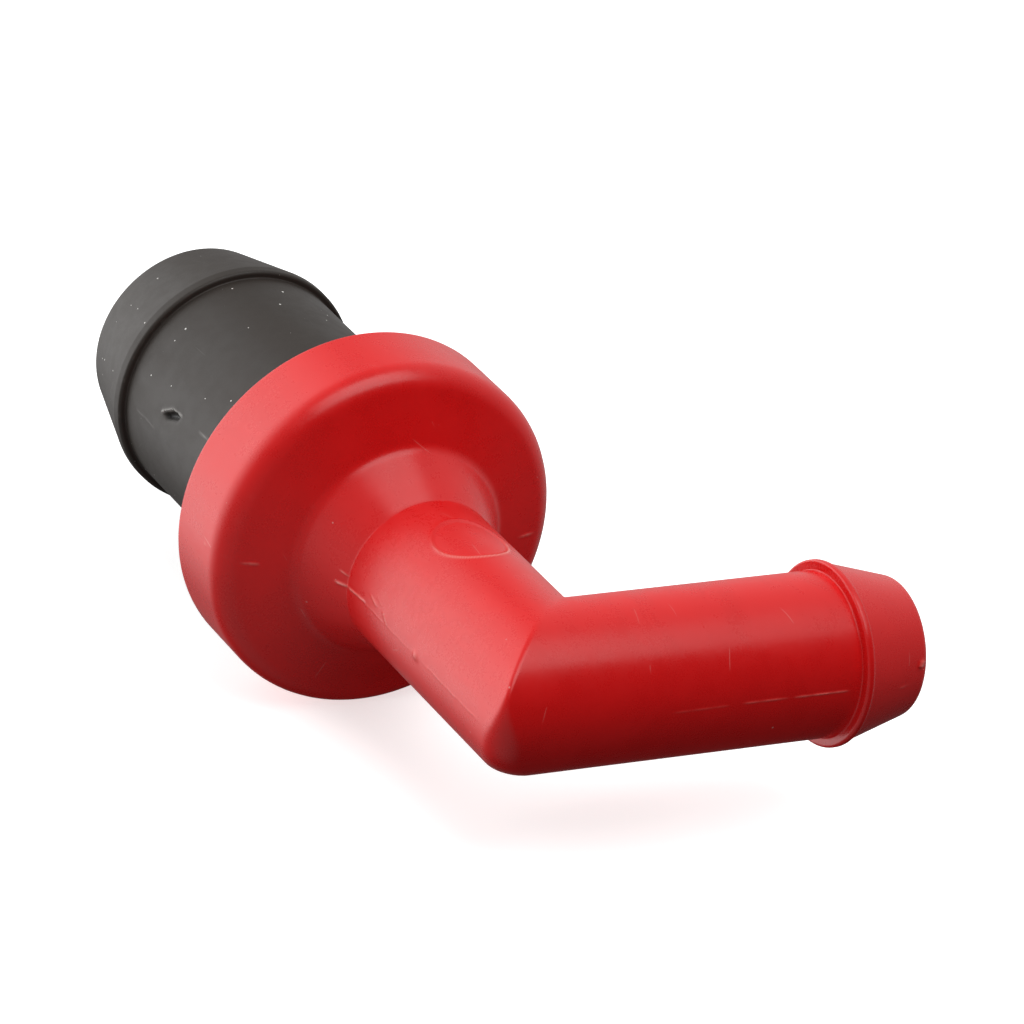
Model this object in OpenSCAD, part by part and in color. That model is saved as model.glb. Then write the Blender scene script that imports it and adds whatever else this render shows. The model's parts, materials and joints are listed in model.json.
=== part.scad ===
// In-line vent and check valve with two hose tails.
// A straight inlet tail closes the back of a drum-shaped chamber, and a mitred
// elbow with a second tail leaves its front. A spring-loaded disc inside lets air
// through from the inlet to the outlet and shuts against flow the other way.
//
// Frame: the origin is the centre of the inlet mouth, +Y points out of the inlet
// along the valve axis, +X is the direction in which the outlet tail points.
// Distances named *_s are measured from the inlet mouth into the part, along -Y.

/* [Chamber] */
// Outside diameter of the drum
drum_d = 29; // [27:0.5:40]
// Back rim of the drum, from the inlet mouth
drum_back_s = 29; // [25:0.5:36]
// Length of the drum along the valve axis
drum_len = 8; // [7.5:0.5:12]
// Round on the front edge of the drum
drum_round = 2.5; // [0.5:0.1:2.6]
// Side wall of the drum
drum_wall = 1.8; // [1.4:0.1:2.2]
// Front wall of the drum
front_wall = 1.6; // [1.2:0.1:2]

/* [Hub] */
// Diameter of the hub where it leaves the drum
hub_d = 17.4; // [16:0.2:19]
// Length of the hub cone
hub_len = 4.3; // [3.5:0.1:8]
// How far the front face rises from the drum edge to the hub
face_rise = 0.8; // [0:0.1:1]

/* [Inlet tail] */
// Diameter of the body of the inlet tail
inlet_d = 19.6; // [16.3:0.1:23.6]
// Wall of the inlet tail
inlet_wall = 2.2; // [1.8:0.1:2.4]
// Height of the rib above the body
inlet_rib_h = 0.6; // [0.3:0.1:1.5]
// How much smaller than the body the inlet tail is across its mouth
inlet_tip_drop = 2.3; // [1:0.1:3]
// Step behind the rib, from the inlet mouth
inlet_step_s = 9; // [6:0.5:12]
// Length of the cylindrical land on the rib
inlet_land = 0.6; // [0.4:0.1:1.2]
// Step from the inlet bore down to the throat behind it
throat_step = 0.3; // [0.1:0.05:0.6]

/* [Outlet tail] */
// Outside diameter of the tube and of the outlet tail
tube_d = 12.8; // [10.6:0.1:15.4]
// Wall of the tube and of the outlet tail
tube_wall = 2; // [1.4:0.1:2.2]
// Elbow corner, from the inlet mouth along the valve axis
elbow_s = 60.3; // [54:0.1:80]
// Cut taken off the outer corner of the elbow, towards its centre
elbow_trim = 0.85; // [0.2:0.05:1.2]
// Length of the outlet tail from the elbow corner to its mouth
outlet_len = 31.3; // [28:0.1:50]
// Height of the rib above the outlet tail
outlet_rib_h = 0.8; // [0.4:0.1:1.5]
// How much smaller than the tube the outlet tail is across its mouth
outlet_tip_drop = 1.2; // [0.2:0.1:2]
// Step behind the rib, from the outlet mouth
outlet_step_s = 6.5; // [5:0.1:9]
// Length of the cylindrical land on the rib
outlet_land = 0.5; // [0.4:0.1:1]

/* [Valve] */
// Lift of the valve disc from its seat to its stop
lift = 2.5; // [1.5:0.1:2.8]
// Diameter of the valve stem
stem_d = 3; // [2.4:0.1:3.6]
// Diameter of the moulded valve disc
disc_d = 12.8; // [10.6:0.1:15.4]
// Thickness of the moulded valve disc
disc_t = 1.5; // [1.2:0.1:1.8]
// Thickness of the rubber seal washer
seal_t = 1.5; // [1:0.1:1.8]
// How far the disc covers the seat ring, from the edge of its hole
seat_cover = 1.5; // [1.3:0.1:2]
// Thickness of the seat ring without its lip
seat_t = 3; // [2.4:0.1:3.4]
// Height of the raised sealing lip
lip_h = 0.4; // [0.2:0.1:0.6]
// Wire of the return spring
wire_d = 0.4; // [0.3:0.05:0.5]
// Mean diameter of the return spring
spring_d = 6.8; // [6.6:0.1:7]

/* [Clearances] */
// Radial play between the stem and its two guides
stem_play = 0.05; // [0.02:0.01:0.1]
// Radial gap around the pieces dropped into the housing
drop_in_play = 0.05; // [0.02:0.01:0.1]
// End gap between pieces that stack along the axis
stack_gap = 0.05; // [0.02:0.01:0.1]
// Gap left at each end of the lift
stop_gap = 0.3; // [0.2:0.05:0.5]

/* [Hidden] */
$fn = 96;

// Drum and joint
drum_r = drum_d / 2;
drum_front_s = drum_back_s + drum_len;
skirt_ir = drum_r - drum_wall;
snap_h = 0.3;
snap_w = 0.45;
flange_t = 2;
flange_s = drum_back_s + snap_w + stack_gap;
flange_front_s = flange_s + flange_t;
flange_r = skirt_ir - drop_in_play;
o_ring_w = 1.7;
shoulder_s = flange_front_s + o_ring_w;
boss_r = skirt_ir - o_ring_w;
cap_ir = boss_r + drop_in_play;
front_inner_s = drum_front_s - front_wall;

// Spring carrier, clamped between the boss and the front wall
carrier_t = 1.2;
carrier_back_s = front_inner_s - stack_gap;
carrier_s = carrier_back_s - carrier_t;
carrier_r = cap_ir - drop_in_play;
boss_end_s = carrier_s - stack_gap;

// Valve stack along the axis, from the carrier forward; open_gap stays behind the
// lifted disc and stem_end is the stem in front of its clip
open_gap = 0.75;
stem_end = 0.9;
stem_chamfer = 0.3;
disc_back_s = carrier_s - open_gap - lift;
disc_s = disc_back_s - disc_t;
seat_face_s = disc_s - seal_t;
seat_s = seat_face_s - lip_h - seat_t;
guide_len = 4;
guide_s = seat_s - guide_len;
clip_t = 0.5;
clip_back_s = guide_s - lift - stop_gap;
stem_front_s = clip_back_s - clip_t - stem_end;

// Radii of the valve
stem_r = stem_d / 2;
guide_hole_r = stem_r + stem_play;
disc_r = disc_d / 2;
seal_over = 0.2;
seal_r = disc_r + seal_over;
seat_bore_r = disc_r - seat_cover;
clamp_t = 0.5;
clamp_r = 3.6;
clip_rim = 1.5;
clip_r = stem_r + clip_rim;
spring_boss_gap = 0.3;
spring_boss_r = spring_d / 2 - wire_d / 2 - spring_boss_gap;
spring_boss_h = 0.9;

// Inlet tail
inlet_r = inlet_d / 2;
inlet_rib_r = inlet_r + inlet_rib_h;
inlet_crest_s = inlet_step_s - inlet_land;
inlet_bore_r = inlet_r - inlet_wall;
stem_setback = 1.3;
inlet_bore_len = stem_front_s - stem_setback;
inlet_tip_round = inlet_wall - inlet_tip_drop / 2;
throat_r = inlet_bore_r - throat_step;
guide_step = 0.4;
seat_step = 0.5;
guide_pocket_r = inlet_bore_r + guide_step;
seat_pocket_r = guide_pocket_r + seat_step;

// Hub, tube and elbow
hub_s = drum_front_s + face_rise;
hub_r = hub_d / 2;
hub_end_s = hub_s + hub_len;
hub_wall = 1.3;
hub_bore_r = hub_r - hub_wall;
hub_bore_setback = 0.2;
hub_bore_end_s = hub_end_s - hub_bore_setback;
tube_r = tube_d / 2;
tube_bore_r = tube_r - tube_wall;
elbow_y = -elbow_s;
elbow_ball_r = sqrt(2) * tube_r - elbow_trim;

// Outlet tail, measured along +X from the elbow corner
outlet_rib_r = tube_r + outlet_rib_h;
outlet_tip_r = tube_r - outlet_tip_drop / 2;
outlet_lip = 0.35;
outlet_tip_round = tube_wall - outlet_tip_drop / 2 + outlet_lip;
outlet_step_x = outlet_len - outlet_step_s;
outlet_crest_x = outlet_step_x + outlet_land;
outlet_bead_h = 0.25;

// Radius of the bore inside the hub at a distance s from the inlet mouth
function hub_bore_at(s) =
    hub_bore_r + (tube_bore_r - hub_bore_r) * (s - drum_front_s) / (hub_bore_end_s - drum_front_s);

// Ring, legs, end plate and bush of the spring carrier; the plate sits in the hub
carrier_ring_w = 2;
carrier_overlap = 1;
plate_t = 1;
plate_depth = 0.6;
plate_s = drum_front_s + plate_depth;
plate_back_s = plate_s + plate_t;
leg_w = 2.2;
leg_t = 1.1;
leg_gap = 0.2;
leg_ro = sqrt(pow(hub_bore_at(plate_back_s), 2) - pow(leg_w / 2, 2)) - leg_gap;
leg_ri = leg_ro - leg_t;
bush_wall = 1;
bush_r = stem_r + bush_wall;
bush_front_h = 1;
bush_back_h = 1.6;
bush_s = plate_s - bush_front_h;
bush_back_s = plate_back_s + bush_back_h;
stem_engaged = 1.2;
stem_back_s = plate_s + stem_engaged;

// Return spring
spring_len = plate_s - disc_back_s;
spring_turns = 5;
spring_flat_turns = 0.6;
spring_r = spring_d / 2;

// Point at which a straight flank from p runs into a round of radius r about c,
// a hair inside the round so that the two cross; turn is -1 or 1 and picks the side
function touch_point(p, c, r, turn) =
    let (inside = r - 0.02, d = p - c, a = atan2(d[1], d[0]) + turn * acos(inside / norm(d)))
    c + inside * [cos(a), sin(a)];

// Turn a profile drawn as [radius, distance from the mouth] about the valve axis
module turned() {
    rotate([90, 0, 0])
        rotate_extrude()
            children();
}

// A ring of rectangular section between two stations on the valve axis
module ring(r_out, r_in, s0, s1) {
    turned()
        translate([r_in, s0])
            square([r_out - r_in, s1 - s0]);
}

// Half of the plane on one side of the mitre through the elbow corner
module mitre_side(towards_tube) {
    reach = 2 * (elbow_s + outlet_len);
    translate([0, elbow_y, 0])
        rotate([0, 0, towards_tube ? 45 : -135])
            translate([-reach / 2, 0, -reach / 2])
                cube([reach, reach / 2, reach]);
}

// Turn a profile drawn as [radius, distance along +X from the elbow] about the outlet axis
module turned_outlet() {
    translate([0, elbow_y, 0])
        rotate([0, 90, 0])
            rotate_extrude()
                children();
}

// Tube and outlet tail with radius r, cut to a mitre at the elbow
module mitred_pair(r, tail_len) {
    intersection() {
        turned()
            translate([0, hub_end_s - 1])
                square([r, elbow_s + 2 * r - hub_end_s + 1]);
        mitre_side(true);
    }
    intersection() {
        turned_outlet()
            translate([0, -2 * r])
                square([r, tail_len + 2 * r]);
        mitre_side(false);
    }
}

// Tube and tail with the sharp outer corner of the mitre trimmed to a ball
module elbow_solid() {
    reach = 2 * (elbow_s + outlet_len);
    intersection() {
        mitred_pair(tube_r, outlet_step_x);
        union() {
            translate([0, elbow_y, 0])
                sphere(elbow_ball_r);
            translate([-reach / 2, elbow_y, -reach / 2])
                cube(reach);
            translate([0, elbow_y - reach / 2, -reach / 2])
                cube(reach);
        }
    }
}

// Outer form of the drum and hub
module drum_solid() {
    centre = [drum_r - drum_round, drum_front_s - drum_round];
    turned() {
        polygon([
            [0, drum_back_s], [drum_r, drum_back_s], [drum_r, centre[1]],
            touch_point([hub_r, hub_s], centre, drum_round, -1),
            [hub_r, hub_s], [tube_r, hub_end_s], [0, hub_end_s]]);
        translate(centre)
            circle(drum_round);
    }
}

// Inner form of the drum and hub, from the back rim to the tube
module drum_hollow() {
    turned()
        polygon([
            [0, drum_back_s - 1], [skirt_ir - snap_h, drum_back_s - 1],
            [skirt_ir - snap_h, drum_back_s + snap_w - snap_h], [skirt_ir, drum_back_s + snap_w],
            [skirt_ir, shoulder_s], [cap_ir, shoulder_s], [cap_ir, front_inner_s],
            [hub_bore_r, front_inner_s], [hub_bore_r, drum_front_s],
            [tube_bore_r, hub_bore_end_s], [0, hub_bore_end_s]]);
}

// Rib and lead-in cone of the outlet tail
module outlet_rib() {
    centre = [outlet_tip_r - outlet_tip_round, outlet_len - outlet_tip_round];
    cone_start = [outlet_rib_r - outlet_bead_h, outlet_crest_x + outlet_bead_h / 2];
    turned_outlet() {
        polygon([
            [0, outlet_step_x - 1], [tube_r, outlet_step_x - 1], [tube_r, outlet_step_x],
            [outlet_rib_r, outlet_step_x], [outlet_rib_r, outlet_crest_x], cone_start,
            touch_point(cone_start, centre, outlet_tip_round, 1),
            [centre[0], outlet_len], [0, outlet_len]]);
        translate(centre)
            circle(outlet_tip_round);
    }
}

// Housing half with the drum, the hub, the elbow and the outlet tail
module outlet_elbow() {
    color([0.80, 0.09, 0.09])
        difference() {
            union() {
                drum_solid();
                elbow_solid();
                outlet_rib();
            }
            drum_hollow();
            mitred_pair(tube_bore_r, outlet_len + 1);
        }
}

// Housing half with the inlet tail, the flange and the boss that carries the O-ring
module inlet_tail() {
    centre = [inlet_bore_r, inlet_tip_round];
    color([0.17, 0.16, 0.15])
        turned()
            difference() {
                union() {
                    polygon([
                        [inlet_bore_r, 0],
                        touch_point([inlet_rib_r, inlet_crest_s], centre, inlet_tip_round, -1),
                        [inlet_rib_r, inlet_crest_s], [inlet_rib_r, inlet_step_s],
                        [inlet_r, inlet_step_s], [inlet_r, flange_s],
                        [flange_r, flange_s], [flange_r, flange_front_s],
                        [boss_r, flange_front_s], [boss_r, boss_end_s],
                        [seat_pocket_r, boss_end_s], [seat_pocket_r, seat_s],
                        [guide_pocket_r, seat_s], [guide_pocket_r, guide_s],
                        [throat_r, guide_s], [throat_r, inlet_bore_len],
                        [inlet_bore_r, inlet_bore_len]]);
                    translate(centre)
                        circle(inlet_tip_round);
                }
                square([inlet_bore_r, inlet_bore_len]);
            }
}

// O-ring between the flange, the boss and the shoulder of the drum
module housing_o_ring() {
    section_r = o_ring_w / 2 - drop_in_play / 2;
    color([0.07, 0.07, 0.07])
        turned()
            translate([boss_r + o_ring_w / 2, flange_front_s + o_ring_w / 2])
                circle(section_r);
}

// Three-armed guide that carries the front of the stem in the inlet bore
module front_guide() {
    rim_r = guide_pocket_r - drop_in_play;
    rim_t = 0.9;
    arm_w = 1.2;
    arm_recess = 0.4;
    s0 = guide_s + stack_gap;
    s1 = seat_s - stack_gap;
    color([0.86, 0.85, 0.80]) {
        difference() {
            union() {
                ring(rim_r, rim_r - rim_t, s0, s1);
                ring(bush_r, guide_hole_r, s0, s1);
                for (a = [30:120:270])
                    rotate([0, a, 0])
                        translate([guide_hole_r, -s1 + arm_recess, -arm_w / 2])
                            cube([rim_r - rim_t / 2 - guide_hole_r,
                                  s1 - s0 - 2 * arm_recess, arm_w]);
            }
            ring(guide_hole_r, 0, s0 - 1, s1 + 1);
        }
    }
}

// Seat ring pressed into the inlet tail, with a raised rounded lip
module valve_seat() {
    lip_r = seat_bore_r + seat_cover / 2;
    color([0.86, 0.85, 0.80]) {
        ring(seat_pocket_r, seat_bore_r, seat_s, seat_s + seat_t);
        turned()
            translate([lip_r, seat_s + seat_t])
                polygon([[-1.5 * lip_h, -lip_h], [-1.5 * lip_h, 0], [-lip_h / 2, lip_h],
                         [lip_h / 2, lip_h], [1.5 * lip_h, 0], [1.5 * lip_h, -lip_h]]);
    }
}

// Carrier that takes the spring in the hub and guides the back of the stem
module spring_carrier() {
    color([0.86, 0.85, 0.80])
        difference() {
            union() {
                ring(carrier_r, carrier_r - carrier_ring_w, carrier_s, carrier_back_s);
                ring(bush_r, guide_hole_r, bush_s, bush_back_s);
                for (a = [90:120:330])
                    rotate([0, a, 0]) {
                        translate([leg_ri, -carrier_back_s, -leg_w / 2])
                            cube([carrier_r - carrier_overlap - leg_ri, carrier_t, leg_w]);
                        translate([leg_ri, -plate_back_s, -leg_w / 2])
                            cube([leg_ro - leg_ri, plate_back_s - carrier_s, leg_w]);
                        translate([guide_hole_r, -plate_back_s, -leg_w / 2])
                            cube([leg_ro - guide_hole_r, plate_t, leg_w]);
                    }
            }
            ring(guide_hole_r, 0, bush_s - 1, bush_back_s + 1);
        }
}

// Point on the spring's helix, t from 0 to 1 along the wire; the end coils lie flat
function spring_centre(t) =
    let (turn = t * spring_turns,
         flat = spring_flat_turns,
         rise = min(max((turn - flat) / (spring_turns - 2 * flat), 0), 1),
         free_len = spring_len - wire_d - 2 * stack_gap,
         s = disc_back_s + wire_d / 2 + stack_gap + rise * free_len,
         a = 360 * turn)
    [spring_r * cos(a), -s, spring_r * sin(a)];

// Return spring, swept as a round wire along its helix
module return_spring() {
    sides = 8;
    steps = 24 * spring_turns;
    rings = [for (i = [0:steps])
        let (t = i / steps, c = spring_centre(t), a = 360 * spring_turns * t)
        [for (k = [0:sides - 1])
            let (b = 360 * (k + 0.5) / sides, rr = wire_d / 2)
            c + [rr * cos(b) * cos(a), rr * sin(b), rr * cos(b) * sin(a)]]];
    points = [for (r = rings) for (p = r) p];
    walls = [for (i = [0:steps - 1]) for (k = [0:sides - 1])
        let (a = i * sides + k, b = i * sides + (k + 1) % sides)
        [a, a + sides, b + sides, b]];
    start_cap = [for (k = [0:sides - 1]) k];
    end_cap = [for (k = [sides - 1:-1:0]) steps * sides + k];
    color([0.72, 0.73, 0.75])
        polyhedron(points, concat(walls, [start_cap, end_cap]), 4);
}

// Moulded valve disc with its stem through both guides
module valve_disc() {
    color([0.90, 0.89, 0.84])
        turned()
            polygon([
                [0, stem_front_s], [stem_r - stem_chamfer, stem_front_s],
                [stem_r, stem_front_s + stem_chamfer],
                [stem_r, disc_s], [disc_r, disc_s], [disc_r, disc_back_s],
                [spring_boss_r, disc_back_s], [spring_boss_r, disc_back_s + spring_boss_h],
                [stem_r, disc_back_s + spring_boss_h], [stem_r, stem_back_s - stem_chamfer],
                [stem_r - stem_chamfer, stem_back_s], [0, stem_back_s]]);
}

// Rubber washer that seals on the lip of the seat
module seal_washer() {
    color([0.09, 0.09, 0.10])
        ring(seal_r, stem_r, disc_s - seal_t, disc_s);
}

// Steel washer pushed onto the stem to hold the seal washer against the disc
module clamp_washer() {
    color([0.70, 0.71, 0.73])
        ring(clamp_r, stem_r, seat_face_s - clamp_t, seat_face_s);
}

// Push-on clip that stops the stem against the front guide at full lift
module stem_clip() {
    notches = 6;
    notch_w = 0.4;
    notch_len = 0.8;
    notch_edge = 0.2;
    color([0.70, 0.71, 0.73])
        difference() {
            ring(clip_r, stem_r, clip_back_s - clip_t, clip_back_s);
            for (i = [0:notches - 1])
                rotate([0, 360 * i / notches, 0])
                    translate([stem_r + notch_edge, -clip_back_s - 1, -notch_w / 2])
                        cube([notch_len, clip_t + 2, notch_w]);
        }
}

outlet_elbow();
inlet_tail();
housing_o_ring();
front_guide();
valve_seat();
spring_carrier();
return_spring();
valve_disc();
seal_washer();
clamp_washer();
stem_clip();
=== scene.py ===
"""An in-line vent and check valve with two hose tails, dressed for a studio picture.

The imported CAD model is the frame.  Every visual piece is built here in mesh code, in the
frame's own coordinates, and rides on the body of the CAD node that it stands for.  The
origin is the centre of the inlet mouth, the valve axis runs along -Y into the part, and
the outlet tail points along +X from the elbow.  Sizes in the classes are millimetres, and
a distance called *_s is measured from the inlet mouth into the part.
"""

import json
import logging
import math
from dataclasses import dataclass
from enum import Enum
from functools import cache
from typing import Iterable, Sequence

import bmesh
import bpy
import numpy as np
from mathutils import Matrix, Vector, noise


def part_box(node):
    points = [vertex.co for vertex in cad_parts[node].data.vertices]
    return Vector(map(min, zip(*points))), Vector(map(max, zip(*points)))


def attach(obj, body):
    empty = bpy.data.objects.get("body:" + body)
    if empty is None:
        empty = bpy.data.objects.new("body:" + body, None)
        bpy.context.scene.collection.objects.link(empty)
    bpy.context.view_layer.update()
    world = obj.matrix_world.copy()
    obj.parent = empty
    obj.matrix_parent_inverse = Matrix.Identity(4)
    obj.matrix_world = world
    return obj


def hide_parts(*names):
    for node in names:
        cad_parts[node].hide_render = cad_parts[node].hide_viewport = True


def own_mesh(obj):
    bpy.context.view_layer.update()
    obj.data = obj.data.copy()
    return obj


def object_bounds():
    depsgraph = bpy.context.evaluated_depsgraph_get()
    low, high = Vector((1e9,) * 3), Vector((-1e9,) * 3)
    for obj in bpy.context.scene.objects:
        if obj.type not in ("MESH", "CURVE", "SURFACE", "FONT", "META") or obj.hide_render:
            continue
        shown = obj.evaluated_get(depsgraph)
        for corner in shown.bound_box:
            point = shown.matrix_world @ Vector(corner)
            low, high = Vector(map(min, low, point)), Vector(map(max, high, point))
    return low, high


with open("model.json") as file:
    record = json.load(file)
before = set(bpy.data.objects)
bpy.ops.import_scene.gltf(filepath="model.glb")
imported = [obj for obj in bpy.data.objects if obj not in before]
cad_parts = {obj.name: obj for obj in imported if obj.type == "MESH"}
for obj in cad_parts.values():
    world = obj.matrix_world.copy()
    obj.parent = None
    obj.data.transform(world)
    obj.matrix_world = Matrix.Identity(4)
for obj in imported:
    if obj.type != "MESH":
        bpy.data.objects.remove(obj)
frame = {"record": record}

CAD_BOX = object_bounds()
MM = 0.001
LOG = logging.getLogger("vent_valve")


class Body(Enum):
    """The two bodies of the frame."""

    HOUSING = "housing"
    VALVE = "valve"


class Slot(Enum):
    """The record's material slots."""

    RED = "red_plastic"
    BLACK = "black_plastic"
    RUBBER = "seal_rubber"
    NATURAL = "natural_plastic"
    STEEL = "spring_steel"


def box_mm(node: str) -> tuple[Vector, Vector]:
    """Lowest and highest corner of a CAD node's box, in millimetres."""
    low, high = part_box(node)
    return low / MM, high / MM


# --------------------------------------------------------------------------------------
# Profiles, rings and skins
# --------------------------------------------------------------------------------------


@dataclass(frozen=True)
class Corner:
    """A corner of a turned profile.

    Attributes:
        s: Distance along the axis, in millimetres.
        r: Distance from the axis, in millimetres.
        round: Radius of the arc that takes off the corner.
    """

    s: float
    r: float
    round: float = 0.0


# Usual rounds of moulded edges, in millimetres.
EDGE = 0.15
FINE_EDGE = 0.1
CRISP_EDGE = 0.08

# How a corner's arc is cut into steps, which corners are taken as straight, and the share of
# a side that an arc may use up.
ARC_STEP_DEG = 9
STRAIGHT_DEG = 89
SIDE_SHARE = 0.49


def corner_arc(before: Corner, here: Corner, after: Corner) -> list[np.ndarray]:
    """Work out the arc that rounds one corner.

    Args:
        before: The corner in front of this one.
        here: The corner that is rounded.
        after: The corner behind this one.

    Returns:
        The arc's points, or the corner itself where it is sharp or straight.
    """
    point = np.array([here.s, here.r])
    back = np.array([before.s, before.r]) - point
    ahead = np.array([after.s, after.r]) - point
    back_len, ahead_len = np.linalg.norm(back), np.linalg.norm(ahead)
    if here.round <= 0 or back_len < 1e-6 or ahead_len < 1e-6:
        return [point]
    back, ahead = back / back_len, ahead / ahead_len
    half = math.acos(max(-1.0, min(1.0, float(back @ ahead)))) / 2
    if half > math.radians(STRAIGHT_DEG):
        return [point]
    reach = min(here.round / math.tan(half), SIDE_SHARE * back_len, SIDE_SHARE * ahead_len)
    radius = reach * math.tan(half)
    middle = point + (back + ahead) / np.linalg.norm(back + ahead) * radius / math.sin(half)
    first, last = point + back * reach - middle, point + ahead * reach - middle
    turn = math.pi - 2 * half
    parts = max(3, math.ceil(math.degrees(turn) / ARC_STEP_DEG))
    arc = []
    for i in range(parts + 1):
        u = i / parts
        spoke = (math.sin((1 - u) * turn) * first + math.sin(u * turn) * last) / math.sin(turn)
        arc.append(middle + spoke)
    return arc


def trace(corners: Sequence[Corner], step: float, closed: bool = False) -> np.ndarray:
    """Turn corners into a row of points, with arcs at the round corners.

    Args:
        corners: The profile's corners in order.
        step: Longest distance between two points, in millimetres.
        closed: Whether the last corner runs back to the first.

    Returns:
        An array of (s, r) rows.
    """
    count = len(corners)
    bends: list[np.ndarray] = []
    for i, here in enumerate(corners):
        if not closed and i in (0, count - 1):
            bends.append(np.array([here.s, here.r]))
            continue
        bends.extend(corner_arc(corners[i - 1], here, corners[(i + 1) % count]))
    if closed:
        bends.append(bends[0])
    points = [bends[0]]
    for a, b in zip(bends, bends[1:]):
        parts = max(1, math.ceil(float(np.linalg.norm(b - a)) / step))
        points.extend(a + (b - a) * k / parts for k in range(1, parts + 1))
    if closed:
        points.pop()
    return np.array(points)


def flank_corner(start: Corner, centre: tuple[float, float], radius: float,
                 at_s: float | None = None, at_r: float | None = None) -> Corner:
    """Find the corner that a straight flank makes, where it runs into a round.

    Args:
        start: Where the flank starts.
        centre: Centre of the round, as (s, r).
        radius: Radius of the round.
        at_s: Station of the face behind the round, or None.
        at_r: Radius of the side behind the round, where at_s is None.

    Returns:
        The corner of the flank and the face or side, with its rounding.
    """
    off = (start.s - centre[0], start.r - centre[1])
    lean, turn = math.atan2(off[1], off[0]), math.acos(radius / math.hypot(*off))
    touches = [(centre[0] + radius * math.cos(lean + t), centre[1] + radius * math.sin(lean + t))
               for t in (turn, -turn)]
    touch = max(touches, key=lambda point: point[1])
    run, rise = touch[0] - start.s, touch[1] - start.r
    if at_s is not None:
        return Corner(at_s, start.r + rise * (at_s - start.s) / run, radius)
    return Corner(start.s + run * (at_r - start.r) / rise, at_r, radius)


def smooth_step(low: float, high: float, value: np.ndarray) -> np.ndarray:
    """Go from 0 at low to 1 at high, with no corner at either end."""
    share = np.clip((value - low) / (high - low), 0.0, 1.0)
    return share * share * (3 - 2 * share)


def ring_angles(count: int, gather: float = 0.0) -> np.ndarray:
    """Angles round an axis, in radians, from the +X side.

    Args:
        count: How many points a ring has.
        gather: From 0 to 1, how strongly the points crowd near the parting plane.

    Returns:
        An array of count angles.
    """
    even = 2 * math.pi * np.arange(count) / count
    return even - gather * np.sin(2 * even) / 2


def turned(profile: np.ndarray, angles: np.ndarray) -> np.ndarray:
    """Turn a profile about the valve axis, as an array of rings in millimetres."""
    s, r = profile[:, :1], profile[:, 1:]
    return np.stack([r * np.cos(angles), np.repeat(-s, len(angles), 1), r * np.sin(angles)], -1)


def skin(name: str, rings: np.ndarray, closed: bool) -> bpy.types.Mesh:
    """Join rings of points into a closed skin that faces outwards.

    Args:
        name: The mesh's name.
        rings: Points in millimetres, as rings x points x 3.
        closed: True where the last ring runs back to the first, False where both ends
            are closed by a fan.

    Returns:
        The mesh, in metres.
    """
    count, around = rings.shape[:2]
    points = rings.reshape(-1, 3)
    index = np.arange(count * around).reshape(count, around)
    beside = np.roll(index, -1, axis=1)
    if closed:
        ahead, ahead_beside = np.roll(index, -1, axis=0), np.roll(beside, -1, axis=0)
    else:
        ahead, ahead_beside = index[1:], beside[1:]
        index, beside = index[:-1], beside[:-1]
    quads = np.stack([index, beside, ahead_beside, ahead], -1).reshape(-1, 4)
    faces = quads.tolist()
    if not closed:
        first, last = count * around, count * around + 1
        points = np.vstack([points, rings[0].mean(0), rings[-1].mean(0)])
        end = (count - 1) * around
        for k in range(around):
            after = (k + 1) % around
            faces.append([first, after, k])
            faces.append([last, end + k, end + after])
    a, b, c, d = (points[quads[:, i]] for i in range(4))
    volume = np.einsum("ij,ij->i", a, np.cross(b, c) + np.cross(c, d)).sum()
    if volume < 0:
        faces = [face[::-1] for face in faces]
    mesh = bpy.data.meshes.new(name)
    mesh.from_pydata((points * MM).tolist(), [], faces)
    return mesh


def bar_mesh(low: Sequence[float], high: Sequence[float], edge: float,
             turn_deg: float) -> bpy.types.Mesh:
    """Make a bar with rounded edges, turned about the valve axis.

    Args:
        low: Lowest corner in millimetres, before the turn.
        high: Highest corner in millimetres, before the turn.
        edge: Radius of the edges.
        turn_deg: Turn about the valve axis, in degrees.

    Returns:
        The bar's mesh, in metres.
    """
    low_corner, high_corner = Vector(low), Vector(high)
    bm = bmesh.new()
    bmesh.ops.create_cube(bm, size=1.0)
    size = high_corner - low_corner
    bmesh.ops.scale(bm, vec=size * MM, verts=bm.verts)
    bmesh.ops.bevel(bm, geom=bm.edges[:], offset=edge * MM, segments=3, affect="EDGES", profile=0.5)
    bmesh.ops.translate(bm, vec=(low_corner + high_corner) / 2 * MM, verts=bm.verts)
    turn = Matrix.Rotation(math.radians(turn_deg), 3, "Y")
    bmesh.ops.rotate(bm, cent=(0, 0, 0), matrix=turn, verts=bm.verts)
    mesh = bpy.data.meshes.new("bar")
    bm.to_mesh(mesh)
    bm.free()
    return mesh


def joined(name: str, meshes: Iterable[bpy.types.Mesh]) -> bpy.types.Mesh:
    """Put several closed skins into one mesh, and drop the separate ones.

    Args:
        name: The new mesh's name.
        meshes: The skins.

    Returns:
        The mesh that holds them all.
    """
    bm = bmesh.new()
    for part in meshes:
        bm.from_mesh(part)
        bpy.data.meshes.remove(part)
    mesh = bpy.data.meshes.new(name)
    bm.to_mesh(mesh)
    bm.free()
    return mesh


def place(mesh: bpy.types.Mesh, sharp_deg: float = 40.0) -> bpy.types.Object:
    """Shade a mesh smooth with crisp creases, and put it in the scene.

    Args:
        mesh: The finished mesh.
        sharp_deg: Angle in degrees above which an edge stays crisp.

    Returns:
        The new object, named as its mesh.
    """
    mesh.shade_smooth()
    mesh.set_sharp_from_angle(angle=math.radians(sharp_deg))
    piece = bpy.data.objects.new(mesh.name, mesh)
    bpy.context.scene.collection.objects.link(piece)
    return piece


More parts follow.
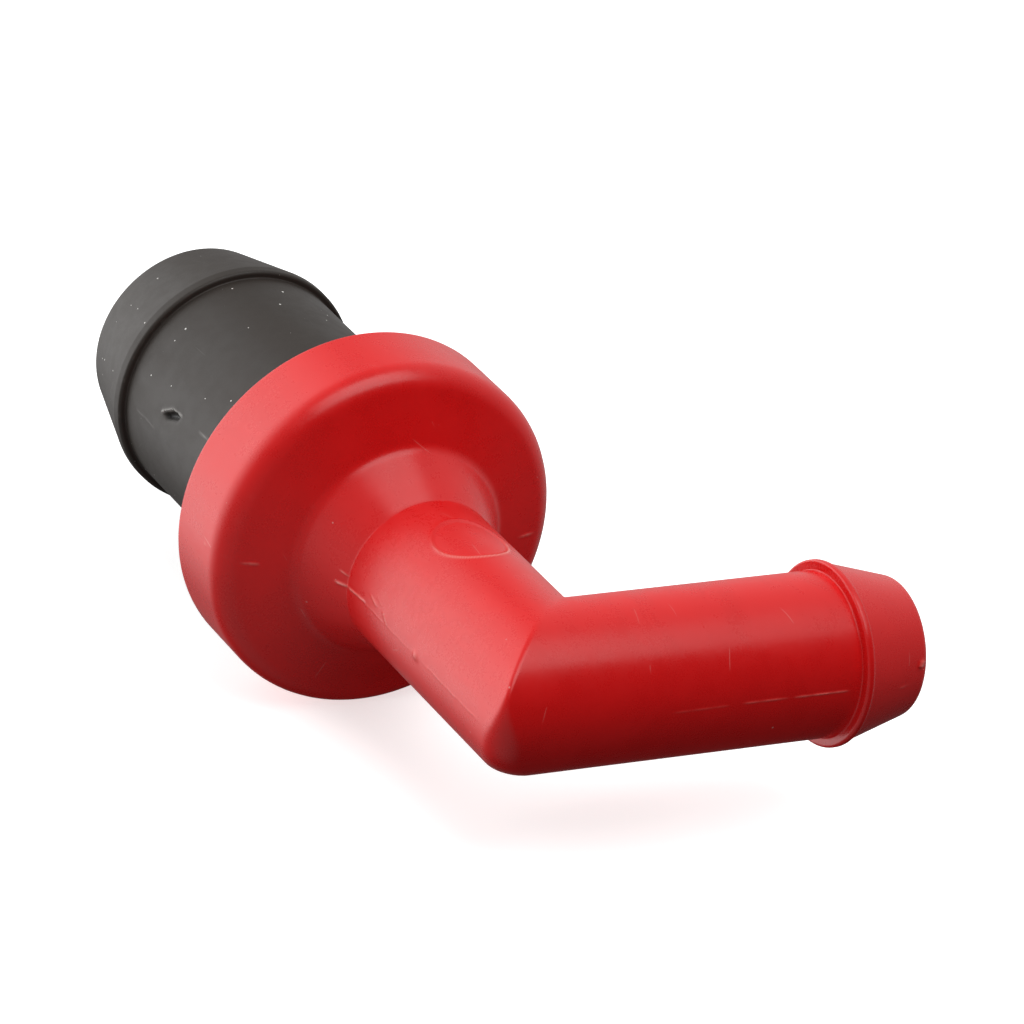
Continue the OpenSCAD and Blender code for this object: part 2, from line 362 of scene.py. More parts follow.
def dress(piece: bpy.types.Object, body: Body, node: str, finish: "Finish") -> None:
    """Give a piece its finish and tie it to the frame.

    Args:
        piece: The piece.
        body: The body that it rides on.
        node: The CAD node that it stands for.
        finish: The finish it gets.
    """
    piece.data.materials.clear()
    piece.data.materials.append(finish.material())
    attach(piece, body.value)
    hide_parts(node)
    LOG.info("%s: %d faces, rides on %s, stands for %s", piece.name, len(piece.data.polygons),
             body.value, node)


# --------------------------------------------------------------------------------------
# Marks that moulding and handling leave on a skin
# --------------------------------------------------------------------------------------


# How many half widths a ridge reaches to each side, how often its sway and its roughness
# change in a millimetre, and how steeply and to what share of its height its ends fade.
RIDGE_REACH = 5
SWAY_PER_MM = 0.9
ROUGH_PER_MM = 2.3
END_FADE = 6
END_LEVEL = 0.2


@dataclass(frozen=True)
class Ridge:
    """A thin raised run of flash, or a shallow scratch where its height is below zero.

    Attributes:
        start: One end, in millimetres.
        end: The other end, in millimetres.
        width: Half width of the ridge.
        height: Height at its crest.
        ragged: From 0 to 1, how unevenly the height runs.
        wander: How far it strays to the side.
        pale: How pale the mark is, from 0 to 1, for flash, whitened plastic and painted glints; below 0 it
            lays painted shade in a recess.
    """

    start: tuple[float, float, float]
    end: tuple[float, float, float]
    width: float = 0.07
    height: float = 0.08
    ragged: float = 0.6
    wander: float = 0.0
    pale: float = 0.6

    def shape(self, points: np.ndarray) -> np.ndarray:
        """Work out the ridge's profile.

        Args:
            points: Points in millimetres.

        Returns:
            Share of the ridge's height at each point, from 0 to 1.
        """
        a, b = np.array(self.start), np.array(self.end)
        along = b - a
        length = float(np.linalg.norm(along))
        t = np.clip((points - a) @ along / length**2, 0, 1)
        side = points - (a + t[:, None] * along)
        near = np.linalg.norm(side, axis=1) < RIDGE_REACH * self.width + self.wander
        out = np.zeros(len(points))
        for i in np.flatnonzero(near):
            run = t[i] * length
            sway = self.wander * noise.noise(Vector((run * SWAY_PER_MM, 3.1, 7.7)))
            gap = math.hypot(float(np.linalg.norm(side[i][:2])), float(side[i][2]) - sway)
            rough = 0.5 + 0.5 * noise.noise(Vector((run * ROUGH_PER_MM, 11.0, 0.4)))
            fade = min(1.0, END_FADE * t[i] + END_LEVEL, END_FADE * (1 - t[i]) + END_LEVEL)
            out[i] = fade * (1 - self.ragged * rough) * math.exp(-((gap / self.width) ** 2))
        return out

    def lift(self, points: np.ndarray) -> np.ndarray:
        """Height that this ridge adds at each point, in millimetres."""
        return self.height * self.shape(points)

    def whiten(self, points: np.ndarray) -> np.ndarray:
        """How much paler each point is made, for flash, whitened plastic and painted glints; below zero,
        painted shade.
        """
        return self.pale * self.shape(points)


@dataclass(frozen=True)
class WitnessRing:
    """The faint raised ring that a core pin leaves on the top of the tube.

    Attributes:
        centre_s: Distance of the ring's centre from the inlet mouth.
        tube_r: Radius of the tube it lies on.
        ring_r: Radius of the ring.
        width: Half width of its crest.
        height: Height of its crest.
        dish: How far the disc inside the ring lies below the tube.
        pale: How pale its crest is, from 0 to 1.
        near: How far from the tube's radius a point may lie.
        dish_edge: Width of the step down to the dish.
    """

    centre_s: float
    tube_r: float
    ring_r: float = 3.0
    width: float = 0.11
    height: float = 0.09
    dish: float = 0.04
    pale: float = 0.85
    near: float = 0.3
    dish_edge: float = 0.05

    def gap(self, points: np.ndarray) -> np.ndarray:
        """Distance of each point outwards from the ring's crest, in millimetres."""
        arc = self.tube_r * (np.arctan2(points[:, 2], points[:, 0]) - math.pi / 2)
        return np.hypot(arc, points[:, 1] + self.centre_s) - self.ring_r

    def on_tube(self, points: np.ndarray) -> np.ndarray:
        """1 for points on the top of the tube, and 0 for all others."""
        radius = np.hypot(points[:, 0], points[:, 2])
        return ((np.abs(radius - self.tube_r) < self.near) & (points[:, 2] > 0)).astype(float)

    def lift(self, points: np.ndarray) -> np.ndarray:
        """Work out the height that this ring adds.

        Args:
            points: Points in millimetres.

        Returns:
            The height at each point, in millimetres.
        """
        gap = self.gap(points)
        crest = self.height * np.exp(-((gap / self.width) ** 2))
        return self.on_tube(points) * (crest - self.dish / (1 + np.exp(gap / self.dish_edge)))

    def whiten(self, points: np.ndarray) -> np.ndarray:
        """Work out how pale the crest is; the side towards the elbow shows more.

        Args:
            points: Points in millimetres.

        Returns:
            The paleness at each point, from 0 to 1.
        """
        gap = self.gap(points)
        crest = np.exp(-((gap / self.width) ** 2))
        lower = np.clip(0.35 - (points[:, 1] + self.centre_s) / self.ring_r, 0.0, 1.0)
        return self.pale * self.on_tube(points) * crest * lower


def raise_marks(mesh: bpy.types.Mesh, marks: Sequence[Ridge | WitnessRing]) -> None:
    """Move a mesh's points along their normals by the height of every mark.

    How pale the marks are is kept in the mesh as its attribute "pale".

    Args:
        mesh: The mesh, in metres.
        marks: The marks that it carries.
    """
    mesh.update()
    count = len(mesh.vertices)
    points, normals = np.empty(count * 3), np.empty(count * 3)
    mesh.vertices.foreach_get("co", points)
    mesh.vertices.foreach_get("normal", normals)
    points, normals = points.reshape(-1, 3), normals.reshape(-1, 3)
    flat = points / MM
    lift = sum(mark.lift(flat) for mark in marks)
    pale = np.clip(sum(mark.whiten(flat) for mark in marks), -1.0, 1.0)
    attribute = mesh.attributes.new("pale", "FLOAT", "POINT")
    attribute.data.foreach_set("value", pale.astype(np.float32))
    points += normals * lift[:, None] * MM
    mesh.vertices.foreach_set("co", points.ravel())
    mesh.update()


# --------------------------------------------------------------------------------------
# Shader node groups
# --------------------------------------------------------------------------------------


class Graph:
    """A short way to write a node tree: adds nodes, sets their sockets and links them."""

    def __init__(self, tree: bpy.types.NodeTree) -> None:
        """Keep the tree that nodes are added to."""
        self.tree = tree

    def add(self, kind: str, inputs: dict[str | int, object] | None = None,
            **settings: object) -> bpy.types.Node:
        """Add one node.

        Args:
            kind: The node's type name without its ShaderNode prefix.
            inputs: Values or output sockets for its inputs.
            settings: Properties of the node itself.

        Returns:
            The node.
        """
        node = self.tree.nodes.new(f"ShaderNode{kind}")
        for key, value in settings.items():
            setattr(node, key, value)
        for key, value in (inputs or {}).items():
            self.feed(node.inputs[key], value)
        return node

    def feed(self, socket: bpy.types.NodeSocket, value: object) -> None:
        """Link an output to a socket, or set the socket's own value.

        Args:
            socket: The socket that is fed.
            value: An output socket or a plain value.
        """
        if isinstance(value, bpy.types.NodeSocket):
            self.tree.links.new(value, socket)
        else:
            socket.default_value = value

    def math(self, operation: str, *values: object, clamp: bool = False) -> bpy.types.NodeSocket:
        """A Math node's result for one to three values or sockets."""
        node = self.add("Math", dict(enumerate(values)), operation=operation, use_clamp=clamp)
        return node.outputs[0]

    def times(self, a: object, b: object) -> bpy.types.NodeSocket:
        """The product of two values or sockets."""
        return self.math("MULTIPLY", a, b)

    def bump(self, height: object, depth_mm: float) -> bpy.types.NodeSocket:
        """A Bump node's normal for a height, with its depth in millimetres."""
        node = self.add("Bump", {"Height": height, "Distance": depth_mm * MM, "Strength": 1.0})
        return node.outputs["Normal"]

    def ramp(self, value: object, low: float, high: float, out_low: float = 0.0,
             out_high: float = 1.0) -> bpy.types.NodeSocket:
        """Take a value from one range to another in a smooth step.

        Args:
            value: The value or socket.
            low: Where the step starts.
            high: Where it ends.
            out_low: Result below the step.
            out_high: Result above it.

        Returns:
            The result's socket.
        """
        node = self.add("MapRange", {"Value": value, "From Min": low, "From Max": high, "To Min": out_low,
                                     "To Max": out_high}, interpolation_type="SMOOTHSTEP")
        return node.outputs["Result"]

    def blend(self, factor: object, a: object, b: object) -> bpy.types.NodeSocket:
        """Mix two colours.

        Args:
            factor: Share of the second colour.
            a: The first colour.
            b: The second colour.

        Returns:
            The mixed colour's socket.
        """
        node = self.add("Mix", data_type="RGBA")
        for name, value in (("Factor", factor), ("A", a), ("B", b)):
            kind = "VALUE" if name == "Factor" else "RGBA"
            socket = next(s for s in node.inputs if s.name == name and s.type == kind)
            self.feed(socket, value)
        return next(s for s in node.outputs if s.type == "RGBA")

    def noise(self, vector: object, scale: object, detail: float = 3.0,
              rough: float = 0.5) -> bpy.types.NodeSocket:
        """A noise value at a scale in cells per metre."""
        node = self.add("TexNoise", {"Vector": vector, "Scale": scale, "Detail": detail, "Roughness": rough})
        return node.outputs["Fac"]

    def group(self, tree: bpy.types.NodeTree, **inputs: object) -> bpy.types.Node:
        """Place a node group with its own values.

        Args:
            tree: The group's node tree.
            inputs: Values for its inputs, named with _ for a space.

        Returns:
            The group's node.
        """
        node = self.tree.nodes.new("ShaderNodeGroup")
        node.node_tree = tree
        for key, value in inputs.items():
            self.feed(node.inputs[key.replace("_", " ")], value)
        return node


class GroupGraph(Graph):
    """A node group that is being written: its inputs, its outputs and the place in the part."""

    def __init__(self, name: str, inputs: dict[str, float], outputs: Sequence[str]) -> None:
        """Start a group with float sockets.

        Args:
            name: The group's name.
            inputs: Its inputs with their default values.
            outputs: Names of its outputs.
        """
        super().__init__(bpy.data.node_groups.new(name, "ShaderNodeTree"))
        for socket_name, default in inputs.items():
            self.socket(socket_name, "INPUT").default_value = default
        for socket_name in outputs:
            self.socket(socket_name, "OUTPUT")
        self.given = self.tree.nodes.new("NodeGroupInput")
        self.out = self.tree.nodes.new("NodeGroupOutput")
        self.where = self.add("TexCoord").outputs["Object"]

    def socket(self, name: str, way: str) -> bpy.types.NodeTreeInterfaceSocket:
        """Add a float socket; way is INPUT or OUTPUT."""
        return self.tree.interface.new_socket(name=name, in_out=way, socket_type="NodeSocketFloat")

    def take(self, name: str) -> bpy.types.NodeSocket:
        """The value that the material gives to one of the inputs."""
        return self.given.outputs[name]

    def give(self, name: str, value: object) -> None:
        """Send a value to one of the outputs."""
        self.feed(self.out.inputs[name], value)


@cache
def grain_group() -> bpy.types.NodeTree:
    """Write the fine moulding grain: two sizes of noise, the small one for the tool's finish.

    Returns:
        The group, with a height and a value for the roughness.
    """
    g = GroupGraph("Moulding grain", {"Fine Scale": 7000.0, "Broad Scale": 900.0}, ("Height", "Value"))
    fine = g.noise(g.where, g.take("Fine Scale"), 4.0, 0.6)
    broad = g.noise(g.where, g.take("Broad Scale"), 2.0, 0.5)
    mixed = g.math("ADD", g.times(fine, 0.45), g.times(broad, 0.55))
    g.give("Height", mixed)
    g.give("Value", g.ramp(mixed, 0.3, 0.7))
    return g.tree


@cache
def flow_group() -> bpy.types.NodeTree:
    """Write the melt's slow streaks: noise stretched along the flow, bent by a slower noise.

    Returns:
        The group, with a value from 0 to 1.
    """
    g = GroupGraph("Melt flow", {"Scale": 160.0}, ("Value",))
    stretch = g.add("Mapping", {"Vector": g.where, "Scale": (1.0, 0.28, 1.0)}).outputs[0]
    sway = g.noise(g.where, 90.0, 2.0)
    shift = g.add("VectorMath", {0: stretch, 1: sway, 2: stretch}, operation="MULTIPLY_ADD")
    streaks = g.noise(shift.outputs[0], g.take("Scale"), 3.0, 0.55)
    g.give("Value", g.ramp(streaks, 0.32, 0.68))
    return g.tree


@cache
def speck_group() -> bpy.types.NodeTree:
    """Write the specks of dust or grit: a spot in some of the cells, with its own size in each.

    Returns:
        The group, with a mask of the spots.
    """
    g = GroupGraph("Specks", {"Scale": 1300.0, "Size": 0.13, "Share": 0.1}, ("Mask",))
    cells = g.add("TexVoronoi", {"Vector": g.where, "Scale": g.take("Scale")}, feature="F1")
    dice = g.add("SeparateColor", {"Color": cells.outputs["Color"]})
    size = g.times(dice.outputs["Green"], g.take("Size"))
    spot = g.ramp(g.math("SUBTRACT", size, cells.outputs["Distance"]), 0.0, 0.02)
    chosen = g.math("LESS_THAN", dice.outputs["Red"], g.take("Share"))
    g.give("Mask", g.times(spot, chosen))
    return g.tree


@cache
def scratch_group() -> bpy.types.NodeTree:
    """Write the short hairline scratches from handling.

    Some of the cells hold a thin disc at its own slant, which cuts a skin in a short line.

    Returns:
        The group, with a mask and a height.
    """
    g = GroupGraph("Handling scratches", {"Scale": 520.0, "Share": 0.06, "Amount": 0.5},
                   ("Mask", "Height"))
    cells = g.add("TexVoronoi", {"Vector": g.where, "Scale": g.take("Scale")}, feature="F1")
    centre = cells.outputs["Position"]
    off = g.add("VectorMath", {0: g.where, 1: centre}, operation="SUBTRACT").outputs[0]
    dice = g.add("TexWhiteNoise", {"Vector": centre})
    lean = g.add("VectorMath", {0: dice.outputs["Color"], 1: (0.5, 0.5, 0.5)}, operation="SUBTRACT")
    slant = g.add("VectorMath", {0: lean.outputs[0]}, operation="NORMALIZE").outputs[0]
    across = g.add("VectorMath", {0: off, 1: slant}, operation="DOT_PRODUCT").outputs["Value"]
    reach = g.add("VectorMath", {0: off}, operation="LENGTH").outputs["Value"]
    line = g.ramp(g.math("ABSOLUTE", across), 0.010 * MM, 0.035 * MM, 1.0, 0.0)
    short = g.ramp(reach, 0.5 * MM, 1.1 * MM, 1.0, 0.0)
    chosen = g.math("LESS_THAN", dice.outputs["Value"], g.take("Share"))
    mask = g.times(g.times(line, short), chosen)
    g.give("Mask", g.times(mask, g.take("Amount")))
    g.give("Height", g.times(mask, -1.0))
    return g.tree


@cache
def edge_group() -> bpy.types.NodeTree:
    """Write the rubbed edges: pointed places of the mesh, broken up by noise.

    Returns:
        The group, with a mask that is 1 on the crests.
    """
    g = GroupGraph("Rubbed edges", {"Start": 0.52, "End": 0.6}, ("Mask",))
    point = g.add("NewGeometry").outputs["Pointiness"]
    crest = g.ramp(point, g.take("Start"), g.take("End"))
    patchy = g.ramp(g.noise(g.where, 1400.0, 3.0), 0.35, 0.65, 0.4, 1.0)
    g.give("Mask", g.times(crest, patchy))
    return g.tree


@cache
def dust_group() -> bpy.types.NodeTree:
    """Write the thin dust that settles in patches on surfaces which face up.

    Returns:
        The group, with a mask.
    """
    g = GroupGraph("Settled dust", {"Amount": 0.2}, ("Mask",))
    facing = g.add("SeparateXYZ", {0: g.add("NewGeometry").outputs["Normal"]}).outputs["Z"]
    patchy = g.ramp(g.noise(g.where, 420.0, 5.0, 0.65), 0.42, 0.75)
    settled = g.times(g.ramp(facing, 0.2, 1.0), patchy)
    g.give("Mask", g.times(settled, g.take("Amount")))
    return g.tree


# --------------------------------------------------------------------------------------
# Finishes
# --------------------------------------------------------------------------------------

Colour = tuple[float, float, float, float]


@dataclass(frozen=True)
class Finish:
    """What every finish has.

    Attributes:
        name: The material's name.
    """

    name: str

    def material(self) -> bpy.types.Material:
        """Make the finish's material on first use.

        Returns:
            The material.
        """
        known = bpy.data.materials.get(self.name)
        if known:
            return known
        made = bpy.data.materials.new(self.name)
        made.use_nodes = True
        made.node_tree.nodes.clear()
        graph = Graph(made.node_tree)
        shader = graph.add("BsdfPrincipled")
        out = graph.add("OutputMaterial", {"Surface": shader.outputs[0]})
        out.is_active_output = True
        self.wire(graph, shader)
        return made

    def wire(self, g: Graph, shader: bpy.types.Node) -> None:
        """Wire the finish's own nodes to its Principled shader."""
        raise NotImplementedError


@dataclass(frozen=True)
class MouldedPlastic(Finish):
    """Moulded plastic, from satin to matte.

    Attributes:
        base: Main colour.
        deep: Colour of the darker streaks.
        rubbed: Colour of rubbed edges and hairline scratches.
        rough: Lowest and highest roughness.
        grain_mm: Depth of the moulding grain, in millimetres.
        specks: Colour of the specks.
        speck_share: Share of the cells that hold a speck.
        speck_strength: How strongly the specks show.
        edge_strength: How strongly the edges are rubbed.
        scratch_strength: How strongly the scratches show.
        dust: How strongly dust shows on top.
        dust_colour: Colour of the dust.
        specular: Specular level of the shader.
        whitened_and_glint: Colour of flash and of whitened torn plastic; on the black plastic it is light, a
            painted glint on the torn flake.
        hollow_shade: Painted shade, the near-black colour laid in the bottom of a tear.
    """

    base: Colour = (0.5, 0.5, 0.5, 1.0)
    deep: Colour = (0.4, 0.4, 0.4, 1.0)
    rubbed: Colour = (0.7, 0.7, 0.7, 1.0)
    rough: tuple[float, float] = (0.3, 0.42)
    grain_mm: float = 0.006
    specks: Colour = (0.9, 0.88, 0.84, 1.0)
    speck_share: float = 0.05
    speck_strength: float = 0.6
    edge_strength: float = 0.3
    scratch_strength: float = 0.25
    dust: float = 0.05
    dust_colour: Colour = (0.75, 0.72, 0.68, 1.0)
    specular: float = 0.5
    whitened_and_glint: Colour = (0.8, 0.8, 0.8, 1.0)
    hollow_shade: Colour = (0.004, 0.004, 0.004, 1.0)

    def wire(self, g: Graph, shader: bpy.types.Node) -> None:
        """Wire streaked colour, grain, hairline scratches, rubbed edges, specks and dust.

        Args:
            g: The material's nodes.
            shader: Its Principled shader.
        """
        grain = g.group(grain_group())
        flow = g.group(flow_group())
        specks = g.group(speck_group(), Share=self.speck_share)
        scratches = g.group(scratch_group(), Amount=self.scratch_strength)
        edges = g.group(edge_group())
        dust = g.group(dust_group(), Amount=self.dust)
        colour = g.blend(flow.outputs["Value"], self.deep, self.base)
        worn = g.times(edges.outputs["Mask"], self.edge_strength)
        colour = g.blend(worn, colour, self.rubbed)
        colour = g.blend(scratches.outputs["Mask"], colour, self.rubbed)
        colour = g.blend(dust.outputs["Mask"], colour, self.dust_colour)
        spots = g.times(specks.outputs["Mask"], self.speck_strength)
        colour = g.blend(spots, colour, self.specks)
        # Paler marks: flash, whitened plastic and, on the black tail's torn flake, a painted glint.
        pale_glint_and_shade = g.add("Attribute", attribute_name="pale").outputs["Fac"]
        colour = g.blend(g.math("MAXIMUM", pale_glint_and_shade, 0.0, clamp=True), colour, self.whitened_and_glint)
        # Painted shade: near-black where the marks' attribute is below zero, in the bottom of the tear.
        hollow_shade = g.math("MULTIPLY", pale_glint_and_shade, -1.0, clamp=True)
        colour = g.blend(hollow_shade, colour, self.hollow_shade)
        g.feed(shader.inputs["Base Color"], colour)
        tone = g.math("ADD", g.times(grain.outputs["Value"], 0.6),
                      g.times(flow.outputs["Value"], 0.4))
        level = g.ramp(tone, 0.0, 1.0, self.rough[0], self.rough[1])
        level = g.math("ADD", level, g.times(dust.outputs["Mask"], 0.3), clamp=True)
        g.feed(shader.inputs["Roughness"], level)
        height = g.math("ADD", grain.outputs["Height"], g.times(scratches.outputs["Height"], 0.4))
        g.feed(shader.inputs["Normal"], g.bump(height, self.grain_mm))
        shader.inputs["Specular IOR Level"].default_value = self.specular


@dataclass(frozen=True)
class SealRubber(Finish):
    """Black sealing rubber with a bloom.

    Attributes:
        base: Colour of the rubber.
        bloom: Colour of the pale bloom.
        rough: Lowest and highest roughness.
        grain_mm: Depth of the grain, in millimetres.
    """

    base: Colour = (0.018, 0.018, 0.019, 1.0)
    bloom: Colour = (0.09, 0.09, 0.088, 1.0)
    rough: tuple[float, float] = (0.5, 0.75)
    grain_mm: float = 0.01

    def wire(self, g: Graph, shader: bpy.types.Node) -> None:
        """Wire patchy bloom over a fine grain.

        Args:
            g: The material's nodes.
            shader: Its Principled shader.
        """
        grain = g.group(grain_group(), Fine_Scale=9000.0, Broad_Scale=1500.0)
        dust = g.group(dust_group(), Amount=0.15)
        flow = g.group(flow_group(), Scale=300.0)
        patch = g.times(flow.outputs["Value"], 0.25)
        colour = g.blend(g.math("ADD", patch, dust.outputs["Mask"], clamp=True), self.base, self.bloom)
        g.feed(shader.inputs["Base Color"], colour)
        g.feed(shader.inputs["Roughness"], g.ramp(grain.outputs["Value"], 0.0, 1.0, *self.rough))
        g.feed(shader.inputs["Normal"], g.bump(grain.outputs["Height"], self.grain_mm))


@dataclass(frozen=True)
class Steel(Finish):
    """Bright drawn or pressed stainless steel.

    Attributes:
        base: Colour of the clean metal.
        dull: Colour of the duller patches.
        rough: Lowest and highest roughness.
        grain_mm: Depth of the grain and the scratches, in millimetres.
    """

    base: Colour = (0.62, 0.62, 0.63, 1.0)
    dull: Colour = (0.42, 0.41, 0.40, 1.0)
    rough: tuple[float, float] = (0.18, 0.4)
    grain_mm: float = 0.003

    def wire(self, g: Graph, shader: bpy.types.Node) -> None:
        """Wire metal with dull patches and drawing marks.

        Args:
            g: The material's nodes.
            shader: Its Principled shader.
        """
        grain = g.group(grain_group(), Fine_Scale=12000.0, Broad_Scale=2500.0)
        flow = g.group(flow_group(), Scale=500.0)
        scratches = g.group(scratch_group(), Scale=900.0, Amount=0.6)
        colour = g.blend(flow.outputs["Value"], self.dull, self.base)
        g.feed(shader.inputs["Base Color"], colour)
        g.feed(shader.inputs["Roughness"], g.ramp(grain.outputs["Value"], 0.0, 1.0, *self.rough))
        height = g.math("ADD", g.times(grain.outputs["Height"], 0.3), scratches.outputs["Height"])
        g.feed(shader.inputs["Normal"], g.bump(height, self.grain_mm))
        shader.inputs["Metallic"].default_value = 1.0


RED_PLASTIC = MouldedPlastic(
    "red moulded plastic", base=(0.79, 0.0095, 0.010, 1.0), deep=(0.74, 0.0085, 0.009, 1.0),
    rubbed=(0.88, 0.24, 0.22, 1.0), rough=(0.25, 0.33), grain_mm=0.0015, specks=(0.9, 0.45, 0.42, 1.0),
    speck_share=0.05, speck_strength=0.6, edge_strength=0.02, scratch_strength=0.5, dust=0.0,
    specular=0.45, whitened_and_glint=(0.92, 0.30, 0.26, 1.0))
# Its whitened colour is light enough to act as a painted glint on the torn flake.
BLACK_PLASTIC = MouldedPlastic(
    "black moulded plastic", base=(0.034, 0.0265, 0.0215, 1.0), deep=(0.031, 0.0245, 0.020, 1.0),
    rubbed=(0.10, 0.09, 0.08, 1.0), rough=(0.46, 0.54), grain_mm=0.004, speck_share=0.3,
    speck_strength=0.9, edge_strength=0.2, scratch_strength=0.3, dust=0.0, specular=0.34,
    whitened_and_glint=(0.42, 0.41, 0.39, 1.0))
NATURAL_PLASTIC = MouldedPlastic(
    "natural moulded plastic", base=(0.78, 0.75, 0.66, 1.0), deep=(0.72, 0.69, 0.60, 1.0),
    rubbed=(0.85, 0.83, 0.78, 1.0), rough=(0.35, 0.5), grain_mm=0.004, specks=(0.2, 0.18, 0.15, 1.0),
    speck_share=0.04, speck_strength=0.4, edge_strength=0.2, scratch_strength=0.15, dust=0.05)
SEAL_RUBBER = SealRubber("seal rubber")
SPRING_STEEL = Steel("spring steel")


# --------------------------------------------------------------------------------------
# The housing
# --------------------------------------------------------------------------------------


@dataclass
class RedHousing:
    """The red housing half: drum, hub, tube, mitred elbow and outlet tail in one skin.

    Attributes:
        drum_r: Outside radius of the drum.
        drum_back_s: Back rim of the drum.
        tail_end_x: Mouth of the outlet tail, along +X from the elbow corner.
        elbow_s: Corner of the elbow on the valve axis.
        rib_r: Radius over the rib of the outlet tail.
        drum_len, drum_round, drum_wall: The drum's length, its front edge and its wall.
        face_rise: How far the front face bulges up to the hub.
        front_wall: Thickness of the front face.
        hub_r, hub_len, hub_wall, hub_fillet: The hub's cone.
        hub_run: Straight tube between the hub and the first ring of the elbow's run.
        edge_run, bore_run, rim_run: Short straights that lead into the drum's front edge, the
            hub's inner cone and the back rim.
        tube_r, tube_wall: The tube and the tail.
        crease_round, corner_round: Round of the elbow's corner above and below the parting plane.
        rib_back: Distance from the mouth of the tail back to the rib's step.
        rib_run: Straight tail in front of the rib's step.
        mouth_run: How far the mouth's profile reaches into the bore.
        bead_w, bead_h, bead_slope: Width of the rib's crest, and the drop and length of its far side.
        tip_r, tip_round: End of the lead-in cone and its round.
        cap_step, shoulder: Step that the O-ring and the boss sit in.
        snap_h, snap_w: The snap lip at the back rim.
        ring_points, ring_gather: Points round a ring, and how they crowd near the parting plane.
        outer_rows, inner_rows: Steps on the tube, round the corner and on the tail.
    """

    drum_r: float
    drum_back_s: float
    tail_end_x: float
    elbow_s: float
    rib_r: float = 7.2
    drum_len: float = 8.0
    drum_round: float = 3.6
    face_rise: float = 0.8
    drum_wall: float = 1.8
    front_wall: float = 1.6
    hub_r: float = 8.7
    hub_len: float = 4.3
    hub_wall: float = 1.3
    hub_fillet: float = 1.2
    hub_run: float = 1.2
    edge_run: float = 0.5
    bore_run: float = 0.1
    rim_run: float = 0.15
    tube_r: float = 6.4
    tube_wall: float = 2.0
    crease_round: float = 0.35
    corner_round: float = 2.2
    rib_back: float = 6.5
    rib_run: float = 0.6
    mouth_run: float = 1.0
    bead_w: float = 0.72
    bead_h: float = 0.22
    bead_slope: float = 0.16
    tip_r: float = 5.8
    tip_round: float = 1.75
    cap_step: float = 1.65
    shoulder: float = 4.2
    snap_h: float = 0.3
    snap_w: float = 0.45
    ring_points: int = 384
    ring_gather: float = 0.4
    outer_rows: tuple[int, int, int] = (96, 14, 120)
    inner_rows: tuple[int, int, int] = (14, 8, 20)

    @classmethod
    def from_frame(cls) -> "RedHousing":
        """Take the driving sizes from the CAD node's box."""
        low, high = box_mm("outlet_elbow")
        return cls(drum_r=high.z, drum_back_s=-high.y, tail_end_x=high.x, elbow_s=-low.y - cls.rib_r)

    @property
    def front_s(self) -> float:
        """Station of the drum's front edge."""
        return self.drum_back_s + self.drum_len

    @property
    def hub_end_s(self) -> float:
        """Station of the hub's end on the tube."""
        return self.front_s + self.face_rise + self.hub_len

    @property
    def bore_r(self) -> float:
        """Radius of the bore through the tube and the outlet tail."""
        return self.tube_r - self.tube_wall

    def elbow_round(self, angles: np.ndarray) -> np.ndarray:
        """Work out the elbow's corner, which is crisp above the parting plane and round below.

        Args:
            angles: Angles of a ring's points.

        Returns:
            Radius of the corner at each angle, in millimetres.
        """
        turn = np.degrees(angles) % 360
        below = smooth_step(148.0, 196.0, turn) * (1 - smooth_step(244.0, 292.0, turn))
        return self.crease_round + (self.corner_round - self.crease_round) * below

    def elbow_run(self, radius: float, start_s: float, end_x: float, angles: np.ndarray,
                  rows: tuple[int, int, int]) -> np.ndarray:
        """Rings down the tube, round the elbow and out along the tail.

        Args:
            radius: Radius of the tube and the tail.
            start_s: Where the run starts on the valve axis.
            end_x: Where it ends on the outlet axis.
            angles: Angles of a ring's points.
            rows: Number of steps on the tube, round the corner and on the tail.

        Returns:
            The rings, without the one at start_s.
        """
        c, z = radius * np.cos(angles), radius * np.sin(angles)
        bend = self.elbow_round(angles)
        corner_y = c - self.elbow_s
        rings = []
        for i in range(1, rows[0] + 1):
            y = -start_s + (corner_y + bend + start_s) * i / rows[0]
            rings.append(np.stack([c, y, z], -1))
        for i in range(1, rows[1] + 1):
            t = math.pi / 2 * i / rows[1]
            x, y = c + bend * (1 - math.cos(t)), corner_y + bend * (1 - math.sin(t))
            rings.append(np.stack([x, y, z], -1))
        for i in range(1, rows[2] + 1):
            x = c + bend + (end_x - c - bend) * i / rows[2]
            rings.append(np.stack([x, corner_y, z], -1))
        return np.array(rings)

    def outlet_rings(self, profile: np.ndarray, angles: np.ndarray) -> np.ndarray:
        """Turn a profile about the outlet axis.

        Args:
            profile: Rows of (s, r), with s as the distance along +X from the elbow.
            angles: Angles of a ring's points.

        Returns:
            The rings.
        """
        x, r = profile[:, :1], profile[:, 1:]
        return np.stack([np.repeat(x, len(angles), 1), r * np.cos(angles) - self.elbow_s,
                         r * np.sin(angles)], -1)

